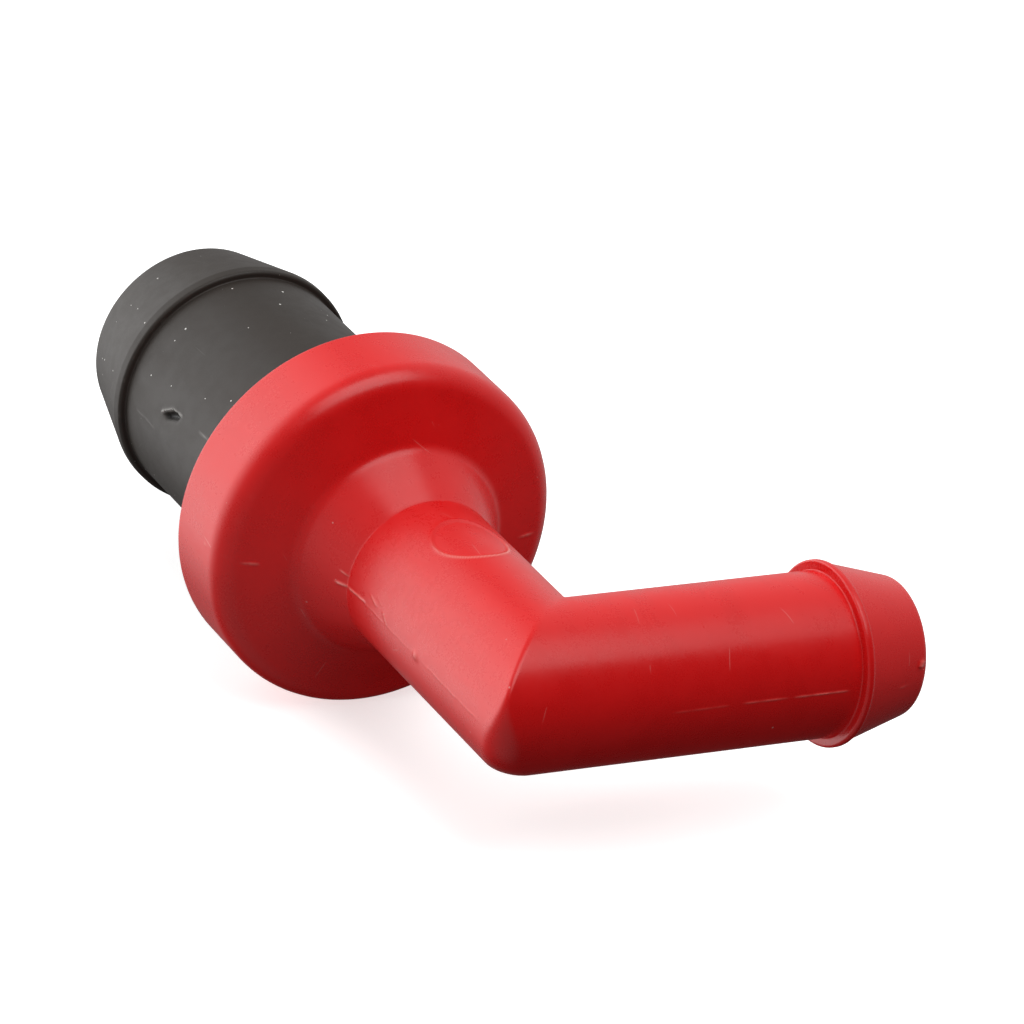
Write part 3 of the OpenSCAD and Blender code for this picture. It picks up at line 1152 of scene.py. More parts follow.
    def outside(self, angles: np.ndarray) -> np.ndarray:
        """Lay rings from the back rim over the drum, the hub, the tube and the tail to its mouth.

        Args:
            angles: Angles of a ring's points.

        Returns:
            The rings.
        """
        front, hub_end, bore_r = self.front_s, self.hub_end_s, self.bore_r
        rib_x = self.tail_end_x - self.rib_back
        edge = (front - self.drum_round, self.drum_r - self.drum_round)
        hub_base = Corner(front + self.face_rise, self.hub_r, self.hub_fillet)
        cone_start = Corner(rib_x + self.bead_w, self.rib_r - self.bead_h, CRISP_EDGE)
        tip = (self.tail_end_x - self.tip_round, self.tip_r - self.tip_round)
        drum = trace([
            Corner(self.drum_back_s, self.drum_r - self.drum_wall / 2),
            Corner(self.drum_back_s, self.drum_r, 0.3),
            Corner(edge[0] - self.edge_run, self.drum_r),
            flank_corner(hub_base, edge, self.drum_round, at_r=self.drum_r),
            hub_base,
            Corner(hub_end, self.tube_r, 0.22),
            Corner(hub_end + self.hub_run, self.tube_r)], step=0.2)
        tail = trace([
            Corner(rib_x - self.rib_run, self.tube_r),
            Corner(rib_x, self.tube_r, 0.12),
            Corner(rib_x, self.rib_r, 0.24),
            Corner(rib_x + self.bead_w - self.bead_slope, self.rib_r, 0.28),
            cone_start,
            flank_corner(cone_start, tip, self.tip_round, at_s=self.tail_end_x),
            Corner(self.tail_end_x, bore_r, 0.18),
            Corner(self.tail_end_x - self.mouth_run, bore_r)], step=0.2)
        run = self.elbow_run(self.tube_r, hub_end + self.hub_run, rib_x - self.rib_run, angles,
                             self.outer_rows)
        return np.concatenate([turned(drum, angles), run, self.outlet_rings(tail[1:], angles)])

    def inside(self, angles: np.ndarray) -> np.ndarray:
        """Lay rings from the mouth of the tail back through the bores to the back rim.

        Args:
            angles: Angles of a ring's points.

        Returns:
            The rings.
        """
        front, hub_end, bore_r = self.front_s, self.hub_end_s, self.bore_r
        hub_in = self.hub_r - self.hub_wall
        skirt_r = self.drum_r - self.drum_wall
        cap_r = skirt_r - self.cap_step
        back = self.drum_back_s
        run = self.elbow_run(bore_r, hub_end - self.bore_run, self.tail_end_x - self.mouth_run, angles,
                             self.inner_rows)[::-1]
        chamber = trace([
            Corner(hub_end - self.bore_run, bore_r),
            Corner(hub_end - 2 * self.bore_run, bore_r),
            Corner(front, hub_in, 0.3),
            Corner(front - self.front_wall, hub_in, 0.2),
            Corner(front - self.front_wall, cap_r, 0.25),
            Corner(back + self.shoulder, cap_r, EDGE),
            Corner(back + self.shoulder, skirt_r, EDGE),
            Corner(back + self.snap_w, skirt_r, CRISP_EDGE),
            Corner(back + self.snap_w - self.snap_h, skirt_r - self.snap_h, CRISP_EDGE),
            Corner(back, skirt_r - self.snap_h, 0.12),
            Corner(back, skirt_r + self.rim_run)], step=0.5)
        return np.concatenate([run[1:], turned(chamber, angles)])

    def build(self) -> None:
        """Build the whole shell with its marks and dress it."""
        angles = ring_angles(self.ring_points, self.ring_gather)
        mesh = skin("red_housing", np.concatenate([self.outside(angles), self.inside(angles)]), True)
        raise_marks(mesh, self.marks())
        dress(place(mesh), Body.HOUSING, "outlet_elbow", RED_PLASTIC)

    def marks(self) -> list[Ridge | WitnessRing]:
        """List the parting-line flash, the witness ring and the small raised marks on the tube.

        Returns:
            The marks.
        """
        tube, front = self.tube_r, self.front_s
        arm_y = -self.elbow_s - tube
        side, parting = -tube, -0.15
        return [
            WitnessRing(centre_s=48.3, tube_r=tube),
            Ridge((14.5, arm_y, 0.38), (18.3, arm_y, 0.38), height=0.06, ragged=0.9, pale=0.5),
            Ridge((18.9, arm_y, 0.37), (23.6, arm_y, 0.37), height=0.07, ragged=0.8, pale=0.7),
            Ridge((8.5, arm_y, 0.3), (13.2, arm_y, 0.35), height=0.03, ragged=0.9, pale=0.2),
            Ridge((28.4, arm_y + 0.12, -0.1), (30.1, arm_y + 0.45, -0.05), width=0.1, height=0.12,
                  ragged=0.3, pale=0.9),
            Ridge((30.4, arm_y + 0.85, 1.1), (30.65, arm_y + 1.0, 1.6), width=0.16, height=0.25,
                  ragged=0.2, pale=0.6),
            Ridge((-6.35, -65.4, 0.4), (-5.5, arm_y + 0.3, 0.05), height=0.09, ragged=0.4, pale=0.8),
            Ridge((side, -44.6, parting), (side, -52.8, parting), height=0.03, wander=0.1, pale=0.15),
            Ridge((side, -54.6, parting), (side, -64.0, parting), height=0.04, wander=0.1, pale=0.25),
            *self.front_line(1, (10.95, 11.9, 12.8, 13.5, 13.95), z=-0.4, height=0.10, pale=0.9),
            Ridge((14.05, -front + 1.9, -0.45), (14.15, -front + 2.1, -0.45), width=0.16, height=0.3,
                  ragged=0.2, pale=0.9),
            Ridge((-6.9, -41.15, -0.25), (side, -42.2, -0.21), width=0.1, height=0.12, ragged=0.2,
                  pale=1.0),
            Ridge((-6.75, -41.35, 0.8), (-6.4, -42.1, 0.62), width=0.07, height=0.07, ragged=0.3,
                  pale=0.7),
            Ridge((side, -42.3, -0.21), (side, -45.1, 0.0), width=0.09, height=0.09, ragged=0.3,
                  pale=0.9),
            Ridge((side, -53.2, parting), (side, -53.9, parting), width=0.3, height=0.14, ragged=0.1,
                  pale=0.35),
            Ridge((side, -45.7, 0.9), (side, -46.9, 0.5), height=0.12, ragged=0.3, pale=0.8),
            Ridge((side, -46.4, 1.3), (side, -47.6, 0.9), height=0.12, ragged=0.3, pale=0.8),
            Ridge((side, -47.9, 0.6), (side, -48.8, -0.1), height=0.12, ragged=0.3, pale=0.8),
            *self.front_line(-1, (14.49, 14.3, 13.9, 13.3), z=0.05, height=0.09, pale=0.8),
            *self.front_line(-1, (12.9, 12.2, 11.4), z=-0.4, height=0.08, pale=0.7),
        ]

    def front_line(self, side: int, radii: Sequence[float], z: float, height: float,
                   pale: float) -> list[Ridge]:
        """Lay a run of flash along the rounded front edge of the drum.

        Args:
            side: 1 for the +X side, -1 for the other.
            radii: Distances from the axis at which the run bends.
            z: Height of the run above the parting plane.
            height: Height of the flash.
            pale: How pale it is.

        Returns:
            One ridge between each two of the radii.
        """
        centre_s = self.front_s - self.drum_round
        centre_r = self.drum_r - self.drum_round
        ends = [(side * r, -centre_s - math.sqrt(self.drum_round**2 - (r - centre_r) ** 2), z)
                for r in radii]
        return [Ridge(a, b, width=0.08, height=height, ragged=0.4, pale=pale)
                for a, b in zip(ends, ends[1:])]


@dataclass
class BlackTail:
    """The black housing half: the inlet tail with its rib, the flange and the boss.

    Attributes:
        flange_r: Radius of the flange that the drum holds.
        boss_end_s: Back end of the boss.
        body_r: Radius of the straight body.
        rib_r, rib_step_s: Radius over the rib, and its step.
        crest_w, crest_drop: Width of the rib's crest, and its fall towards the step.
        tip_r, tip_round: End of the lead-in cone and its round.
        bore_r: Radius of the mouth's bore.
        throat_r, throat_s: The throat behind it.
        guide_r, guide_s: Pocket of the front guide.
        seat_r, seat_s: Pocket of the seat ring.
        flange_s, flange_t: Front face of the flange and its thickness.
        boss_r: Radius of the boss.
        ring_points, ring_gather: Points round a ring, and how they crowd near the parting plane.
    """

    flange_r: float
    boss_end_s: float
    body_r: float = 9.8
    rib_r: float = 10.4
    rib_step_s: float = 9.0
    crest_w: float = 0.9
    crest_drop: float = 0.03
    tip_r: float = 8.65
    tip_round: float = 1.05
    bore_r: float = 7.6
    throat_r: float = 7.3
    throat_s: float = 15.0
    guide_r: float = 8.0
    guide_s: float = 20.5
    seat_r: float = 8.5
    seat_s: float = 24.5
    flange_s: float = 29.5
    flange_t: float = 2.0
    boss_r: float = 11.0
    ring_points: int = 384
    ring_gather: float = 0.4

    @classmethod
    def from_frame(cls) -> "BlackTail":
        """Take the driving sizes from the CAD node's box."""
        low, high = box_mm("inlet_tail")
        return cls(flange_r=high.x, boss_end_s=-low.y)

    def build(self) -> None:
        """Build the tail's skin with its torn flake and scratch, and dress it."""
        flange_front = self.flange_s + self.flange_t
        crest = Corner(self.rib_step_s - self.crest_w, self.rib_r, 0.6)
        profile = trace([
            Corner(0.0, self.bore_r, 0.22),
            flank_corner(crest, (self.tip_round, self.tip_r - self.tip_round), self.tip_round, at_s=0.0),
            crest,
            Corner(self.rib_step_s, self.rib_r - self.crest_drop, 0.46),
            Corner(self.rib_step_s, self.body_r, 0.12),
            Corner(self.flange_s, self.body_r, 0.2),
            Corner(self.flange_s, self.flange_r, EDGE),
            Corner(flange_front, self.flange_r, EDGE),
            Corner(flange_front, self.boss_r, FINE_EDGE),
            Corner(self.boss_end_s, self.boss_r, EDGE),
            Corner(self.boss_end_s, self.seat_r, EDGE),
            Corner(self.seat_s, self.seat_r, FINE_EDGE),
            Corner(self.seat_s, self.guide_r, FINE_EDGE),
            Corner(self.guide_s, self.guide_r, FINE_EDGE),
            Corner(self.guide_s, self.throat_r, FINE_EDGE),
            Corner(self.throat_s, self.throat_r, CRISP_EDGE),
            Corner(self.throat_s, self.bore_r, CRISP_EDGE)], step=0.2, closed=True)
        angles = ring_angles(self.ring_points, self.ring_gather)
        mesh = skin("black_inlet_tail", turned(profile, angles), True)
        raise_marks(mesh, [
            # Painted shade: the tear's recess is also painted near-black where it lies in shade.
            Ridge(self.on_body(15.6, 170.0), self.on_body(17.6, 165.2), width=0.3, height=-0.42,
                  ragged=0.2, pale=-1.0),
            # Painted glint: the flake's raised crest is partly whitened plastic and partly painted light.
            Ridge(self.on_body(15.0, 170.0), self.on_body(16.6, 164.4), width=0.13, height=0.26,
                  ragged=0.1, pale=1.0),
            Ridge(self.on_body(16.6, 164.4), self.on_body(18.1, 163.9), width=0.1, height=0.14,
                  ragged=0.3, pale=1.0),
            Ridge(self.on_body(21.0, 163.2), self.on_body(28.9, 160.5), width=0.09, height=0.06,
                  ragged=0.9, pale=0.8),
            Ridge((-self.body_r, -11.0, 0.0), (-self.body_r, -14.5, 0.0), height=0.02, wander=0.1, pale=0.2),
        ])
        dress(place(mesh), Body.HOUSING, "inlet_tail", BLACK_PLASTIC)

    def on_body(self, s: float, angle_deg: float) -> tuple[float, float, float]:
        """A point on the tail's straight body."""
        a = math.radians(angle_deg)
        return (self.body_r * math.cos(a), -s, self.body_r * math.sin(a))


@dataclass
class HousingSeal:
    """The O-ring between the two housing halves.

    Attributes:
        section_r: Radius of its section.
        centre_r, centre_s: Middle of the section.
        flash_h, flash_w: Height and width of its moulding line.
        step_deg: Angle between two points of the section.
        ring_points: Points round the ring.
    """

    section_r: float
    centre_r: float
    centre_s: float
    flash_h: float = 0.03
    flash_w: float = 0.12
    step_deg: int = 9
    ring_points: int = 160

    @classmethod
    def from_frame(cls) -> "HousingSeal":
        """Take the ring from the CAD node's box.

        Returns:
            The ring.
        """
        low, high = box_mm("housing_o_ring")
        section = (high.y - low.y) / 2
        return cls(section_r=section, centre_r=high.x - section, centre_s=-(high.y + low.y) / 2)

    def build(self) -> None:
        """Build the ring with its thin moulding line and dress it."""
        around = np.radians(np.arange(0, 360, self.step_deg))
        flash = self.flash_h * np.exp(-((np.sin(around) / self.flash_w) ** 2))
        radius = self.section_r - self.flash_h + flash
        profile = np.stack([self.centre_s + radius * np.sin(around),
                            self.centre_r + radius * np.cos(around)], -1)
        mesh = skin("housing_seal_ring", turned(profile, ring_angles(self.ring_points)), True)
        dress(place(mesh), Body.HOUSING, "housing_o_ring", SEAL_RUBBER)


# --------------------------------------------------------------------------------------
# The valve inside
# --------------------------------------------------------------------------------------


@dataclass
class FrontGuide:
    """The three-armed guide that carries the front of the stem.

    Attributes:
        rim_r, rim_t: Radius of the rim and its thickness.
        front_s, back_s: The guide's two faces.
        hole_r, bush_r: Hole and outside of the bush round the stem.
        arm_w, arm_recess: Width of an arm, and how far it lies behind the faces.
        arm_root: How far an arm reaches into the bush.
        first_arm_deg: Direction of the first arm.
        arms: How many arms there are.
    """

    rim_r: float
    front_s: float
    back_s: float
    rim_t: float = 0.9
    hole_r: float = 1.55
    bush_r: float = 2.5
    arm_w: float = 1.2
    arm_recess: float = 0.4
    arm_root: float = 0.5
    first_arm_deg: float = 30
    arms: int = 3

    @classmethod
    def from_frame(cls) -> "FrontGuide":
        """Take the rim's radius and length from the CAD node's box."""
        low, high = box_mm("front_guide")
        return cls(rim_r=high.z, front_s=-high.y, back_s=-low.y)

    def build(self) -> None:
        """Build the rim, the bush and the arms and dress them."""
        parts = [tube_mesh(self.rim_r, self.rim_r - self.rim_t, self.front_s, self.back_s, edge=0.12),
                 tube_mesh(self.bush_r, self.hole_r, self.front_s, self.back_s, EDGE)]
        for i in range(self.arms):
            parts.append(bar_mesh(
                (self.bush_r - self.arm_root, -self.back_s + self.arm_recess, -self.arm_w / 2),
                (self.rim_r - self.rim_t / 2, -self.front_s - self.arm_recess, self.arm_w / 2),
                EDGE, self.first_arm_deg + 360 / self.arms * i))
        mesh = joined("front_guide_spider", parts)
        dress(place(mesh), Body.HOUSING, "front_guide", NATURAL_PLASTIC)


def tube_mesh(outer: float, inner: float, s0: float, s1: float, edge: float,
              points: int = 144) -> bpy.types.Mesh:
    """A ring of rectangular section with rounded edges about the valve axis.

    Args:
        outer: Outside radius.
        inner: Radius of the hole.
        s0: Front face.
        s1: Back face.
        edge: Radius of its edges.
        points: Points round the ring.

    Returns:
        The ring's mesh, in metres.
    """
    profile = trace([Corner(s0, inner, edge), Corner(s0, outer, edge), Corner(s1, outer, edge),
                     Corner(s1, inner, edge)], step=0.4, closed=True)
    return skin("ring", turned(profile, ring_angles(points)), True)


@dataclass
class SeatRing:
    """The seat ring with its rounded sealing lip.

    Attributes:
        outer_r: Outside radius.
        front_s, lip_s: Its front face and the top of its lip.
        bore_r: Radius of the hole.
        lip_h, lip_crest, lip_foot: The lip's height, and half its width at the crest and the foot.
        disc_r: Radius of the disc that closes on it.
        ring_points: Points round the ring.
    """

    outer_r: float
    front_s: float
    lip_s: float
    bore_r: float = 4.9
    lip_h: float = 0.4
    lip_crest: float = 0.25
    lip_foot: float = 0.6
    disc_r: float = 6.4
    ring_points: int = 192

    @classmethod
    def from_frame(cls) -> "SeatRing":
        """Take the ring's radius and its two faces from the CAD node's box."""
        low, high = box_mm("valve_seat")
        return cls(outer_r=high.z, front_s=-high.y, lip_s=-low.y)

    def build(self) -> None:
        """Build the ring and dress it."""
        lip_r, face_s = (self.bore_r + self.disc_r) / 2, self.lip_s - self.lip_h
        profile = trace([
            Corner(self.front_s, self.bore_r, 0.35),
            Corner(self.front_s, self.outer_r, EDGE),
            Corner(face_s, self.outer_r, EDGE),
            Corner(face_s, lip_r + self.lip_foot, FINE_EDGE),
            Corner(self.lip_s, lip_r + self.lip_crest, 0.22),
            Corner(self.lip_s, lip_r - self.lip_crest, 0.22),
            Corner(face_s, lip_r - self.lip_foot, FINE_EDGE),
            Corner(face_s, self.bore_r, FINE_EDGE)], step=0.3, closed=True)
        mesh = skin("seat_ring_lipped", turned(profile, ring_angles(self.ring_points)), True)
        dress(place(mesh), Body.HOUSING, "valve_seat", NATURAL_PLASTIC)


@dataclass
class SpringCarrier:
    """The three-legged carrier that holds the spring in the hub.

    Attributes:
        ring_r, ring_s, ring_w, ring_t: The clamped ring's radius, front face, width and thickness.
        plate_s, plate_t: The spokes that the spring rests on.
        leg_w, leg_in, leg_t: A leg's width, inner side and thickness.
        hole_r, bush_r: Hole and outside of the bush round the stem.
        bush_front, bush_back_s: How far the bush stands in front of the spokes, and its back end.
        spoke_root: How far a spoke reaches into the bush.
        first_leg_deg: Direction of the first leg.
        legs: How many legs there are.
    """

    ring_r: float
    ring_s: float
    bush_back_s: float
    ring_w: float = 2.0
    ring_t: float = 1.2
    plate_s: float = 37.6
    plate_t: float = 1.0
    leg_w: float = 2.2
    leg_in: float = 5.0
    leg_t: float = 1.1
    hole_r: float = 1.55
    bush_r: float = 2.5
    bush_front: float = 1.0
    spoke_root: float = 0.5
    first_leg_deg: float = 90
    legs: int = 3

    @classmethod
    def from_frame(cls) -> "SpringCarrier":
        """Take the ring and the bush's end from the CAD node's box."""
        low, high = box_mm("spring_carrier")
        return cls(ring_r=high.z, ring_s=-high.y, bush_back_s=-low.y)

    def build(self) -> None:
        """Build the ring, the bush and the legs and dress them."""
        half = self.leg_w / 2
        ring_back, plate_back = self.ring_s + self.ring_t, self.plate_s + self.plate_t
        leg_out = self.leg_in + self.leg_t
        parts = [tube_mesh(self.ring_r, self.ring_r - self.ring_w, self.ring_s, ring_back, EDGE),
                 tube_mesh(self.bush_r, self.hole_r, self.plate_s - self.bush_front, self.bush_back_s,
                           EDGE)]
        for i in range(self.legs):
            turn = self.first_leg_deg + 360 / self.legs * i
            bars = [((self.leg_in, -ring_back, -half), (self.ring_r - self.ring_w / 2, -self.ring_s, half)),
                    ((self.leg_in, -plate_back, -half), (leg_out, -self.ring_s, half)),
                    ((self.bush_r - self.spoke_root, -plate_back, -half), (leg_out, -self.plate_s, half))]
            parts.extend(bar_mesh(low, high, EDGE, turn) for low, high in bars)
        mesh = joined("spring_carrier_cage", parts)
        dress(place(mesh), Body.HOUSING, "spring_carrier", NATURAL_PLASTIC)


@dataclass
class ReturnSpring:
    """The return spring, which shortens as the disc lifts.

    Attributes:
        mean_r: Radius of the coils, to the middle of the wire.
        front_s, back_s: The spring's two ends.
        anchor_s: Its fixed end; not used.
        wire_r: Radius of the wire.
        turns, flat_turns: How many turns there are, and how many lie flat at each end.
        ease: Share of the pitch that eases in from the flat turns.
        lift: How far the disc lifts; not used.
        wire_sides, turn_steps: Points round the wire, and rings to a turn.
    """

    mean_r: float
    front_s: float
    back_s: float
    anchor_s: float
    wire_r: float = 0.2
    turns: float = 5.0
    flat_turns: float = 0.6
    ease: float = 0.25
    lift: float = 2.5
    wire_sides: int = 16
    turn_steps: int = 72

    @classmethod
    def from_frame(cls) -> "ReturnSpring":
        """Take the length and radius from the CAD node's box, and the fixed end from the record.

        Returns:
            The spring.
        """
        low, high = box_mm("return_spring")
        joint = frame["record"]["behaviour"]["joints"][0]
        fixed = joint["deforming_nodes"][0]["fixed_end_y_m"] / MM
        return cls(mean_r=high.x - cls.wire_r, front_s=-high.y, back_s=-low.y, anchor_s=-fixed,
                   lift=joint["range_m"][1] / MM)

    def rings(self) -> np.ndarray:
        """Lay rings of the wire along its helix, with the end coils lying flat.

        Returns:
            The rings.
        """
        count = int(self.turn_steps * self.turns)
        sides = 2 * math.pi * np.arange(self.wire_sides) / self.wire_sides
        run = self.back_s - self.front_s - 2 * self.wire_r
        rings = []
        for i in range(count + 1):
            turn = self.turns * i / count
            rise = min(max((turn - self.flat_turns) / (self.turns - 2 * self.flat_turns), 0.0), 1.0)
            rise = rise * rise * (3 - 2 * rise) * self.ease + rise * (1 - self.ease)
            a, y = 2 * math.pi * turn, -(self.front_s + self.wire_r + rise * run)
            out = self.mean_r + self.wire_r * np.cos(sides)
            along = y + self.wire_r * np.sin(sides)
            rings.append(np.stack([out * math.cos(a), along, out * math.sin(a)], -1))
        return np.array(rings)

    def build(self) -> None:
        """Build the wire, dress it and give it a mesh of its own."""
        piece = place(skin("return_spring_wire", self.rings(), False), sharp_deg=60.0)
        dress(piece, Body.HOUSING, "return_spring", SPRING_STEEL)
        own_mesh(piece)


@dataclass
class ValvePlug:
    """The parts that lift: the disc with its stem, the seal, its washer and the clip.

    Attributes:
        stem_front_s, stem_back_s, stem_r: The stem's ends and its radius.
        stem_tip_r: Radius of the smallest ring, which the end's fan closes.
        chamfer: Chamfer of the stem's ends.
        disc_r, disc_s, disc_t: The disc's radius, front face and thickness.
        boss_r, boss_h: The boss behind it.
        clip_notches, clip_notch_w, clip_notch_depth: The notches round the clip's hole.
        clip_notch_edge: Width of a notch's side.
        ring_points, clip_points: Points round a ring of the disc, and of the clip.
    """

    stem_front_s: float
    stem_back_s: float
    disc_r: float
    stem_r: float = 1.5
    stem_tip_r: float = 0.02
    chamfer: float = 0.3
    disc_s: float = 29.4
    disc_t: float = 1.5
    boss_r: float = 2.9
    boss_h: float = 0.9
    clip_notches: int = 6
    clip_notch_w: float = 0.4
    clip_notch_depth: float = 1.0
    clip_notch_edge: float = 0.02
    ring_points: int = 144
    clip_points: int = 360

    @classmethod
    def from_frame(cls) -> "ValvePlug":
        """Take the stem's ends and the disc's radius from the CAD node's box."""
        low, high = box_mm("valve_disc")
        return cls(stem_front_s=-high.y, stem_back_s=-low.y, disc_r=high.z)

    def disc(self) -> None:
        """Build the moulded disc and its stem."""
        back = self.disc_s + self.disc_t
        profile = trace([
            Corner(self.stem_front_s, self.stem_tip_r),
            Corner(self.stem_front_s, self.stem_r - self.chamfer, CRISP_EDGE),
            Corner(self.stem_front_s + self.chamfer, self.stem_r, CRISP_EDGE),
            Corner(self.disc_s, self.stem_r, FINE_EDGE),
            Corner(self.disc_s, self.disc_r, 0.2),
            Corner(back, self.disc_r, 0.3),
            Corner(back, self.boss_r, EDGE),
            Corner(back + self.boss_h, self.boss_r, 0.2),
            Corner(back + self.boss_h, self.stem_r, EDGE),
            Corner(self.stem_back_s - self.chamfer, self.stem_r, CRISP_EDGE),
            Corner(self.stem_back_s, self.stem_r - self.chamfer, CRISP_EDGE),
            Corner(self.stem_back_s, self.stem_tip_r)], step=0.4)
        mesh = skin("valve_disc_and_stem", turned(profile, ring_angles(self.ring_points)), False)
        dress(place(mesh), Body.VALVE, "valve_disc", NATURAL_PLASTIC)

    def seal(self) -> None:
        """Build the rubber washer on the disc's face."""
        low, high = box_mm("seal_washer")
        mesh = tube_mesh(high.z, self.stem_r, -high.y, -low.y, edge=0.18, points=192)
        mesh.name = "seal_washer_rubber"
        dress(place(mesh), Body.VALVE, "seal_washer", SEAL_RUBBER)

    def clamp(self) -> None:
        """Build the steel washer in front of the seal."""
        low, high = box_mm("clamp_washer")
        mesh = tube_mesh(high.z, self.stem_r, -high.y, -low.y, FINE_EDGE)
        mesh.name = "clamp_washer_steel"
        dress(place(mesh), Body.VALVE, "clamp_washer", SPRING_STEEL)

    def clip(self) -> None:
        """Build the push-on clip, with its notches round the stem."""
        low, high = box_mm("stem_clip")
        angles = ring_angles(self.clip_points)
        outer, s0, s1 = high.z, -high.y, -low.y
        sector = 2 * math.pi / self.clip_notches
        off = np.abs((angles + sector / 2) % sector - sector / 2) * (self.stem_r + 0.4)
        deep = 1 / (1 + np.exp((off - self.clip_notch_w / 2) / self.clip_notch_edge))
        profile = trace([Corner(s0, self.stem_r, 0.06), Corner(s0, outer, 0.12), Corner(s1, outer, 0.12),
                         Corner(s1, self.stem_r, 0.06)], step=0.5, closed=True)
        rings = turned(profile, angles)
        inner = profile[:, 1] < self.stem_r + 0.1
        reach = 1 + deep[None, :, None] * self.clip_notch_depth / self.stem_r
        rings[inner] = rings[inner] * np.concatenate([reach, np.ones_like(reach), reach], -1)
        dress(place(skin("stem_clip_steel", rings, True)), Body.VALVE, "stem_clip", SPRING_STEEL)

    def build(self) -> None:
        """Build the four pieces from back to front."""
        self.disc()
        self.seal()
        self.clamp()
        self.clip()


# --------------------------------------------------------------------------------------
# The studio
# --------------------------------------------------------------------------------------


def heading(side_deg: float, height_deg: float) -> Vector:
    """Find the direction from the object to a light or a camera.

    Args:
        side_deg: Direction round the object; 0 is in front along -Y, 90 is at +X.
        height_deg: Height above the horizon.

    Returns:
        The direction, of length 1.
    """
    side, up = math.radians(side_deg), math.radians(height_deg)
    return Vector((math.sin(side) * math.cos(up), -math.cos(side) * math.cos(up), math.sin(up)))


@dataclass(frozen=True)
class SoftBox:
    """A rectangular studio light.

    Attributes:
        name: Its name.
        side_deg: Direction round the object; 0 is in front along -Y, 90 is at +X.
        height_deg: Height above the horizon.
        away: Distance from the object, in metres.
        size: Width and height, in metres.
        watts: Its power.
        tint: Its colour.
    """

    name: str
    side_deg: float
    height_deg: float
    away: float
    size: tuple[float, float]
    watts: float
    tint: tuple[float, float, float] = (1.0, 1.0, 1.0)

    def hang(self, target: Vector) -> None:
        """Hang the light so that it faces the target.

        Args:
            target: The point that it faces.
        """
        lamp = bpy.data.lights.new(self.name, "AREA")
        lamp.shape = "RECTANGLE"
        lamp.size, lamp.size_y = self.size
        lamp.energy = self.watts
        lamp.color = self.tint
        holder = bpy.data.objects.new(self.name, lamp)
        away = heading(self.side_deg, self.height_deg)
        holder.location = target + away * self.away
        holder.rotation_euler = away.to_track_quat("Z", "Y").to_euler()
        bpy.context.scene.collection.objects.link(holder)


@dataclass(frozen=True)
class Glow:
    """A broad soft glow of the studio's walls.

    Attributes:
        towards: Direction of its middle.
        spread: Cosines of the angle from its middle where it fades in and is full.
        level: Its brightness.
    """

    towards: tuple[float, float, float]
    spread: tuple[float, float]
    level: float


@dataclass(frozen=True)
class FloorPaper(Finish):
    """Plain pale studio paper, lit a little from below as on a light table.

    Attributes:
        base: Its colour.
        shade: Colour of its faint fibres.
        back_light: Light that comes through it.
    """

    base: Colour = (0.93, 0.93, 0.93, 1.0)
    shade: Colour = (0.92, 0.92, 0.915, 1.0)
    back_light: float = 0.65

    def wire(self, g: Graph, shader: bpy.types.Node) -> None:
        """Wire nearly even white with a faint fibre.

        Args:
            g: The material's nodes.
            shader: Its Principled shader.
        """
        grain = g.group(grain_group(), Fine_Scale=900.0, Broad_Scale=60.0)
        g.feed(shader.inputs["Base Color"], g.blend(grain.outputs["Value"], self.shade, self.base))
        g.feed(shader.inputs["Roughness"], g.ramp(grain.outputs["Value"], 0.0, 1.0, 0.85, 0.95))
        shader.inputs["Specular IOR Level"].default_value = 0.1
        shader.inputs["Emission Color"].default_value = (1.0, 1.0, 1.0, 1.0)
        shader.inputs["Emission Strength"].default_value = self.back_light


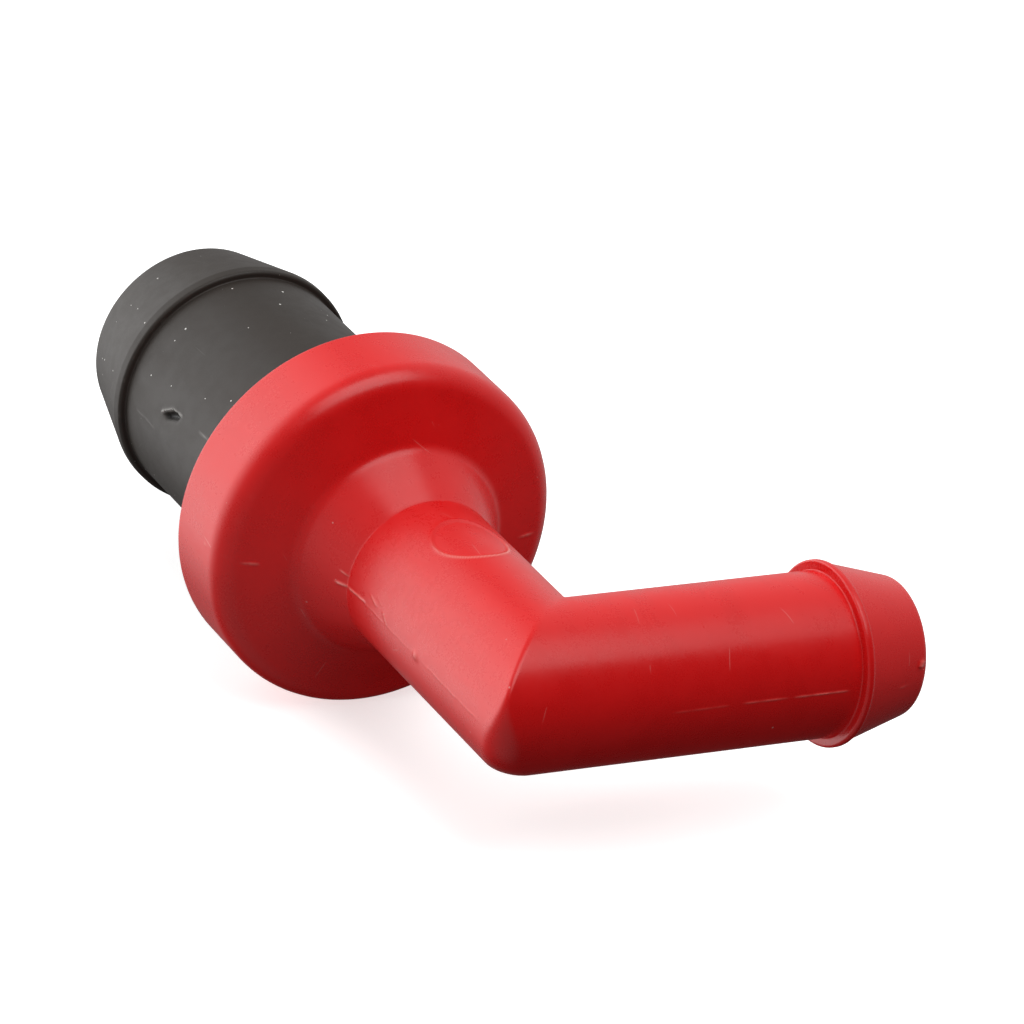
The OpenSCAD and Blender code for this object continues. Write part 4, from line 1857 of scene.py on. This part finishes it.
@dataclass
class Studio:
    """The floor, the lights, the surroundings and the camera.

    Attributes:
        azimuth_deg: Camera's direction round the object; 0 looks along +Y.
        elevation_deg: Its height above the horizon.
        roll_deg: Its lean about the line of sight.
        away: Its distance from the point it looks at, in metres.
        lens: Its focal length, in millimetres.
        aim: The point it looks at, in millimetres.
        sensor: Width of its sensor, in millimetres.
        clip: Nearest and farthest distance that it shows, in metres.
        floor_half, floor_tiles: Half the width of the floor, in metres, and its faces each way.
        base_level: Brightness of the surroundings outside the glows.
        glows: The glows of the surroundings.
        lights: The lights.
    """

    azimuth_deg: float = -31.93
    elevation_deg: float = 25.59
    roll_deg: float = 9.23
    away: float = 0.483
    lens: float = 207.69
    aim: tuple[float, float, float] = (21.87, -18.34, -8.66)
    sensor: float = 36.0
    clip: tuple[float, float] = (0.01, 20.0)
    floor_half: float = 9.0
    floor_tiles: int = 8
    base_level: float = 0.02
    glows: tuple[Glow, ...] = (
        Glow(towards=(-0.62, 0.76, 0.15), spread=(0.50, 1.0), level=1.85),
        Glow(towards=(-0.62, 0.70, -0.05), spread=(0.86, 0.90), level=0.42),
        Glow(towards=(-0.2, 0.75, 0.6), spread=(-0.3, 0.7), level=0.38),
        Glow(towards=(-0.6, -0.5, -0.5), spread=(0.3, 1.0), level=0.34),
        Glow(towards=(0.85, 0.2, 0.2), spread=(0.45, 1.0), level=0.45),
    )
    lights: tuple[SoftBox, ...] = (
        SoftBox("top_softbox", side_deg=10, height_deg=70, away=0.65, size=(0.6, 0.5), watts=2.6),
    )

    def floor(self) -> None:
        """Lay the floor under the drum."""
        bm = bmesh.new()
        bmesh.ops.create_grid(bm, x_segments=self.floor_tiles, y_segments=self.floor_tiles,
                              size=self.floor_half)
        lowest = CAD_BOX[0][2]
        bmesh.ops.translate(bm, vec=(0, 0, lowest), verts=bm.verts)
        mesh = bpy.data.meshes.new("studio_floor")
        bm.to_mesh(mesh)
        bm.free()
        floor = bpy.data.objects.new("studio_floor", mesh)
        floor.data.materials.append(FloorPaper("studio paper").material())
        floor.visible_glossy = False
        floor.visible_diffuse = False
        bpy.context.scene.collection.objects.link(floor)

    def camera(self) -> None:
        """Set up the camera and make it the scene's own."""
        data = bpy.data.cameras.new("studio_camera")
        data.lens, data.sensor_width = self.lens, self.sensor
        data.clip_start, data.clip_end = self.clip
        camera = bpy.data.objects.new("studio_camera", data)
        back = heading(self.azimuth_deg, self.elevation_deg)
        roll = Matrix.Rotation(math.radians(self.roll_deg), 3, "Z")
        turn = back.to_track_quat("Z", "Y").to_matrix() @ roll
        camera.matrix_world = Matrix.Translation(Vector(self.aim) * MM + back * self.away) @ turn.to_4x4()
        bpy.context.scene.collection.objects.link(camera)
        bpy.context.scene.camera = camera

    def world(self) -> None:
        """Set the soft glows of the studio's white walls over dim surroundings."""
        world = bpy.data.worlds.new("studio_surround")
        world.use_nodes = True
        g = Graph(world.node_tree)
        looking = g.add("TexCoord").outputs["Generated"]
        level: object = self.base_level
        for glow in self.glows:
            towards = tuple(Vector(glow.towards).normalized())
            facing = g.add("VectorMath", {0: looking, 1: towards}, operation="DOT_PRODUCT").outputs["Value"]
            level = g.math("MULTIPLY_ADD", g.ramp(facing, *glow.spread), glow.level, level)
        sky = world.node_tree.nodes["Background"]
        sky.inputs["Color"].default_value = (1.0, 1.0, 1.0, 1.0)
        g.feed(sky.inputs["Strength"], level)
        bpy.context.scene.world = world
        bpy.context.scene.view_settings.view_transform = "Standard"

    def build(self) -> None:
        """Set up the whole studio."""
        self.world()
        self.floor()
        target = (Vector(CAD_BOX[0]) + Vector(CAD_BOX[1])) / 2
        for light in self.lights:
            light.hang(target)
        self.camera()
        LOG.info("studio: %d lights", len(self.lights))


def main() -> None:
    """Build the pieces from the outside in, then the studio round them."""
    logging.basicConfig(level=logging.INFO, format="%(message)s")
    RedHousing.from_frame().build()
    BlackTail.from_frame().build()
    HousingSeal.from_frame().build()
    FrontGuide.from_frame().build()
    SeatRing.from_frame().build()
    SpringCarrier.from_frame().build()
    ReturnSpring.from_frame().build()
    ValvePlug.from_frame().build()
    Studio().build()


if __name__ == "__main__":
    main()
